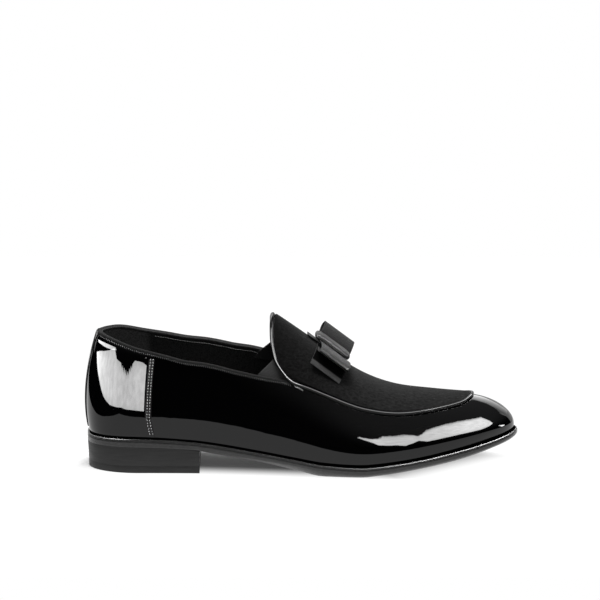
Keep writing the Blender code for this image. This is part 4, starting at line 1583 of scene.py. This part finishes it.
# Where the photo shows the lights in the gloss: upper and lower limit at each pixel column, and the strength
Shine = namedtuple("Shine", "x top bottom glow")
HEEL_SHINE = [
    Shine(98.0, 353.7, 358.0, 19.0),
    Shine(99.5, 353.0, 378.0, 20.0),
    Shine(104.4, 352.5, 398.0, 20.0),
    Shine(110.5, 351.6, 406.0, 19.0),
    Shine(115.6, 348.0, 408.0, 19.0),
    Shine(117.4, 359.7, 408.4, 18.0),
    Shine(121.7, 364.0, 408.5, 17.0),
    Shine(122.6, 370.0, 408.8, 17.0),
    Shine(123.2, 366.0, 409.0, 17.0),
    Shine(124.0, 373.5, 409.5, 16.5),
    Shine(124.7, 368.0, 409.8, 16.5),
    Shine(125.6, 375.0, 410.0, 16.5),
    Shine(126.3, 370.5, 410.2, 16.5),
    Shine(127.3, 377.5, 410.3, 16.5),
    Shine(128.1, 372.0, 410.4, 16.5),
    Shine(129.0, 376.0, 410.5, 16.5),
    Shine(129.8, 369.0, 410.6, 16.5),
    Shine(130.6, 373.0, 410.7, 17.0),
    Shine(131.4, 366.5, 410.8, 17.0),
    Shine(132.2, 370.0, 410.9, 17.0),
    Shine(132.9, 365.0, 411.0, 17.0),
    Shine(135.4, 361.5, 411.5, 18.0),
    Shine(140.0, 363.0, 412.0, 18.0),
    Shine(147.0, 366.6, 412.3, 18.0),
]
HEEL_TOP_SHINE = [
    Shine(99.6, 338.6, 343.4, 18.0),
    Shine(104.0, 339.8, 347.2, 20.0),
    Shine(109.0, 341.2, 349.6, 20.0),
    Shine(113.0, 342.4, 350.6, 19.0),
    Shine(117.0, 344.2, 351.0, 16.0),
]
HEEL_SPOT_SHINE = [
    Shine(142.4, 353.4, 354.0, 14.0),
    Shine(143.8, 353.8, 355.6, 24.0),
    Shine(145.4, 355.0, 355.6, 14.0),
]
TOE_SHINE = [
    Shine(360.0, 438.9, 439.3, 8.0),
    Shine(368.0, 439.4, 440.6, 14.0),
    Shine(375.0, 439.4, 443.1, 20.0),
    Shine(379.6, 438.9, 445.2, 20.0),
    Shine(386.0, 437.0, 445.3, 18.5),
    Shine(398.0, 436.2, 444.8, 17.5),
    Shine(407.0, 434.7, 445.2, 18.0),
    Shine(414.8, 435.0, 442.5, 18.0),
    Shine(420.2, 435.8, 440.2, 17.0),
    Shine(428.6, 430.1, 440.8, 19.0),
    Shine(437.8, 427.1, 439.0, 19.5),
    Shine(446.9, 424.7, 437.0, 20.5),
    Shine(460.7, 421.7, 434.0, 22.0),
    Shine(468.4, 420.4, 432.4, 23.0),
    Shine(482.2, 418.0, 429.3, 22.0),
    Shine(489.8, 420.9, 426.3, 20.0),
    Shine(493.2, 423.5, 424.0, 18.0),
]
TIP_SHINE = [
    Shine(499.6, 425.4, 425.9, 12.0),
    Shine(502.4, 425.2, 426.5, 24.0),
    Shine(505.4, 424.8, 425.4, 14.0),
]
TIP_UPPER_SHINE = [
    Shine(500.6, 413.6, 414.1, 0.6),
    Shine(504.0, 414.8, 415.9, 1.0),
    Shine(507.0, 416.6, 417.1, 0.6),
]
TOE_TOP_SHINE = [
    Shine(473.0, 395.0, 399.4, 5.0),
    Shine(478.0, 396.0, 400.8, 4.8),
    Shine(484.0, 397.4, 403.2, 3.8),
    Shine(493.0, 401.2, 407.2, 2.4),
    Shine(503.0, 407.2, 412.4, 1.4),
    Shine(509.0, 412.0, 415.6, 0.8),
]
SHINE_ROWS = 6
CARD_CLOUD_SCALE = 60.0
CARD_CLOUD = (0.86, 1.12)
HEEL_CARD_AWAY = 0.17
TOE_CARD_AWAY = 0.2
EVEN_FALL = (1.0, 1.0, 1.0, 1.0)
EDGE_GLOW = 9.0
BOW_GLOW = 34.0
BOW_CARD_LIFT = 0.03
# The narrow cards, in millimetres like the lines of the shoe that they follow
LINE_CARD_AWAY = 180.0
LINE_CARD_HALF = 46.0
LINE_STEP = 3.0
WELT_FACING = (0.0, -0.75, 0.66)


def sheet_faces(columns, rows):
    """Quads of a grid whose vertices are listed column by column."""
    faces = []
    for i in range(columns - 1):
        for k in range(rows - 1):
            first = i * rows + k
            faces.append((first, first + rows, first + rows + 1, first + 1))
    return faces


def shine_card(name, table, away, fall, receivers):
    """A card cut so that the gloss shows it where the photo does, its strength falling off downwards."""
    verts, strengths = [], []
    for row in table:
        for share in shares(SHINE_ROWS):
            verts.append(mirrored((row.x, row.top + (row.bottom - row.top) * share), away))
            strengths.append(row.glow * curve_through([0.0, 0.2, 0.8, 1.0], fall, share))
    show_in(card(name, verts, sheet_faces(len(table), SHINE_ROWS + 1), strengths), receivers)


def line_card(name, route, towards, fall, receivers):
    """A narrow card along a route that draws a bright line on the side of it that faces this way."""
    towards = np.array(towards)
    verts, strengths = [], []
    for k, place in enumerate(route):
        ahead = route[min(k + 1, len(route) - 1)] - route[max(k - 1, 0)]
        ahead = ahead / np.linalg.norm(ahead)
        facing = towards - ahead * (towards @ ahead)
        back = bounced(facing / np.linalg.norm(facing))
        beside = np.cross(back, ahead)
        beside /= np.linalg.norm(beside)
        for across in (-LINE_CARD_HALF, LINE_CARD_HALF):
            verts.append(np.array(to_frame(place + back * LINE_CARD_AWAY + beside * across)))
            strengths.append(curve_through([0.0, 0.1, 0.4, 1.0], fall, k / (len(route) - 1)))
    show_in(card(name, verts, sheet_faces(len(route), 2), strengths), receivers)


def tongue_route():
    """The lateral piping from the throat to the tongue's tip."""
    return evenly(piping_route()[SEAM_POINTS - 2:SEAM_POINTS + TONGUE_POINTS - 2], LINE_STEP, False)


def seam_route(first_x, last_x):
    """The lateral piping along the apron's seam."""
    walks = shares(40, walk_of(first_x), walk_of(last_x))
    points = [surface(walk, LATERAL, edge_angle(walk, LATERAL), PIPING_RADIUS) for walk in walks]
    return evenly(points, LINE_STEP, False)


def counter_route():
    """The lateral counter's stitched front edge, from its foot to its top."""
    points = []
    for up in shares(30, 0.16, 0.96):
        walk = walk_of(along(COUNTER_FRONT, "front_x", up) - sum(COUNTER_ROWS) / 2)
        points.append(surface(walk, LATERAL, edge_angle(walk, LATERAL) * up, COUNTER_THICK))
    return evenly(points, LINE_STEP, False)


def welt_route(first_x, last_x):
    """The lateral welt's upper edge."""
    rays = [ray_at(walk, LATERAL) for walk in shares(40, walk_of(first_x), walk_of(last_x))]
    points = [under_point(ray, past_feather(ray, margin_less(0.0)), WELT_DROP) for ray in rays]
    return evenly(points, LINE_STEP, False)


def show_in(piece, receivers):
    """Let a card show in these pieces only."""
    shown_in = bpy.data.collections.new(piece.name + "_receivers")
    for receiver in receivers:
        shown_in.objects.link(receiver)
    piece.light_linking.receiver_collection = shown_in


def edge_card(name, lift, strength, receivers):
    """A card above the camera that cords, threads and ribbon show as thin bright lines."""
    verts = [(-0.6, -0.6, 0.5), (0.6, -0.6, 0.5), (0.6, -0.15, 0.8), (-0.6, -0.15, 0.8)]
    verts = [(x, y, z + lift) for x, y, z in verts]
    show_in(card(name, verts, [(0, 1, 2, 3)], [strength] * 4), receivers)


def area_light(name, place, aim, size, watts):
    data = bpy.data.lights.new(name, "AREA")
    data.shape = "RECTANGLE"
    data.size, data.size_y = size
    data.energy = watts
    lamp = placed(name, data)
    lamp.location = place
    lamp.rotation_euler = (Vector(aim) - Vector(place)).to_track_quat("-Z", "Y").to_euler()
    lamp.visible_glossy = False
    return lamp


# The room round the shoe: a direction, the span along it, and the brightness at the span's ends
ROOM_IN_GLOSS = ((0.0, 0.0, 1.0), (0.22, 0.95), (0.0, 0.21))
ROOM_LIGHT = ((0.0, 0.45, 0.89), (-0.1, 1.0), (0.09, 0.62))
ROOM_SEEN = ((0.0, 0.0, 1.0), (0.0, 1.0), (1.0, 1.0))


def world():
    """White behind everything for the camera.

    What falls on the shoe comes from above and behind it, and the gloss shows a dim room higher up.
    """
    made = bpy.data.worlds.new("studio")
    made.use_nodes = True
    bpy.context.scene.world = made
    nodes = Nodes(made.node_tree)
    nodes.tree.nodes.clear()
    path = nodes.node("LightPath").outputs
    rooms = []
    for towards, span, strengths in (ROOM_IN_GLOSS, ROOM_LIGHT, ROOM_SEEN):
        strength = nodes.smooth(nodes.reach("Generated", towards), span, strengths)
        white = nodes.node("Background", Color=(1.0, 1.0, 1.0, 1.0), Strength=strength)
        rooms.append(white.outputs["Background"])
    seen = rooms[0]
    for kind, room in (("Is Diffuse Ray", rooms[1]), ("Is Camera Ray", rooms[2])):
        mix = nodes.paired("MixShader", (1, 2), seen, room)
        nodes.tree.links.new(path[kind], mix.inputs["Fac"])
        seen = mix.outputs["Shader"]
    nodes.node("OutputWorld", Surface=seen)


def studio(wall, heel_panels, cords, ribbons, threads, welt_edge):
    camera()
    floor()
    world()
    shine_card("heel_softbox", HEEL_SHINE, HEEL_CARD_AWAY, (0.8, 1.0, 1.0, 0.85), heel_panels)
    shine_card("heel_top_softbox", HEEL_TOP_SHINE, HEEL_CARD_AWAY, EVEN_FALL, heel_panels)
    shine_card("heel_spot_softbox", HEEL_SPOT_SHINE, HEEL_CARD_AWAY, EVEN_FALL, heel_panels)
    shine_card("toe_softbox", TOE_SHINE, TOE_CARD_AWAY, (0.3, 0.9, 1.0, 0.8), wall)
    shine_card("tip_softbox", TIP_SHINE, TOE_CARD_AWAY, EVEN_FALL, wall)
    shine_card("tip_upper_softbox", TIP_UPPER_SHINE, TOE_CARD_AWAY, EVEN_FALL, wall)
    shine_card("toe_top_softbox", TOE_TOP_SHINE, TOE_CARD_AWAY, (1.0, 0.85, 0.4, 0.05), wall)
    edge_card("edge_card", 0.0, EDGE_GLOW, cords)
    edge_card("bow_card", BOW_CARD_LIFT, BOW_GLOW, ribbons)
    line_card("counter_card", counter_route(), (0.15, -0.98, 0.0), (0.6, 0.9, 1.0, 1.6), heel_panels)
    line_card("stitch_card", counter_route(), (0.1, -0.93, 0.35), (0.0, 4.0, 44.0, 60.0), threads)
    line_card("tongue_card", tongue_route(), (-0.15, -0.72, 0.68), (22.0, 18.0, 6.0, 0.0), cords)
    line_card("seam_card", seam_route(82.0, 143.0), (0.2, -0.75, 0.62), (0.0, 5.0, 12.0, 8.0), cords)
    line_card("welt_card", welt_route(40.0, 143.0), WELT_FACING, (0.0, 10.0, 34.0, 34.0), welt_edge)
    line_card("heel_welt_card", welt_route(-137.0, -118.0), WELT_FACING, (6.0, 20.0, 26.0, 6.0), welt_edge)
    wall_card("back_card", (-1.8, 1.6, 0.0), (1.8, 1.6, 0.0), 1.6, (0.8, 0.8))
    top = [(-1.2, 0.55, 1.3), (0.1, 0.55, 1.3), (0.1, 1.2, 1.1), (-1.2, 1.2, 1.1)]
    card("top_card", top, [(0, 1, 2, 3)], [5.0] * 4)
    area_light("overhead", (-0.1, 0.15, 1.5), (0.0, 0.0, 0.0), (0.9, 0.7), 28.0)
    area_light("front_fill", (0.5, -1.6, 0.9), (0.0, 0.0, 0.05), (1.2, 0.8), 2.0)
    bpy.context.scene.view_settings.view_transform = "Standard"


def main():
    wall = upper()
    lining()
    apron()
    heel_panels = [counter(), backstay()]
    gore(LATERAL)
    gore(MEDIAL)
    binding()
    cords = [piping()]
    welt_edge = welt()
    welt_seat()
    outsole()
    heel()
    insole()
    ribbons = [bow_loop(LOOPS[0], RIBBON), bow_knot()]
    bow_loop(LOOPS[1], FAR_RIBBON_SHADED)
    bow_loop(LOOPS[2], LOWER_RIBBON_LIT_AND_SHADED)
    bow_loop(LOOPS[3], LOWER_RIBBON_LIT_AND_SHADED)
    bow_base()
    threads = counter_stitches()
    cords += [*threads, *collar_stitches(), bar_tack(), *lining_stitches()]
    studio([wall], heel_panels, cords, ribbons, threads, [welt_edge])


main()
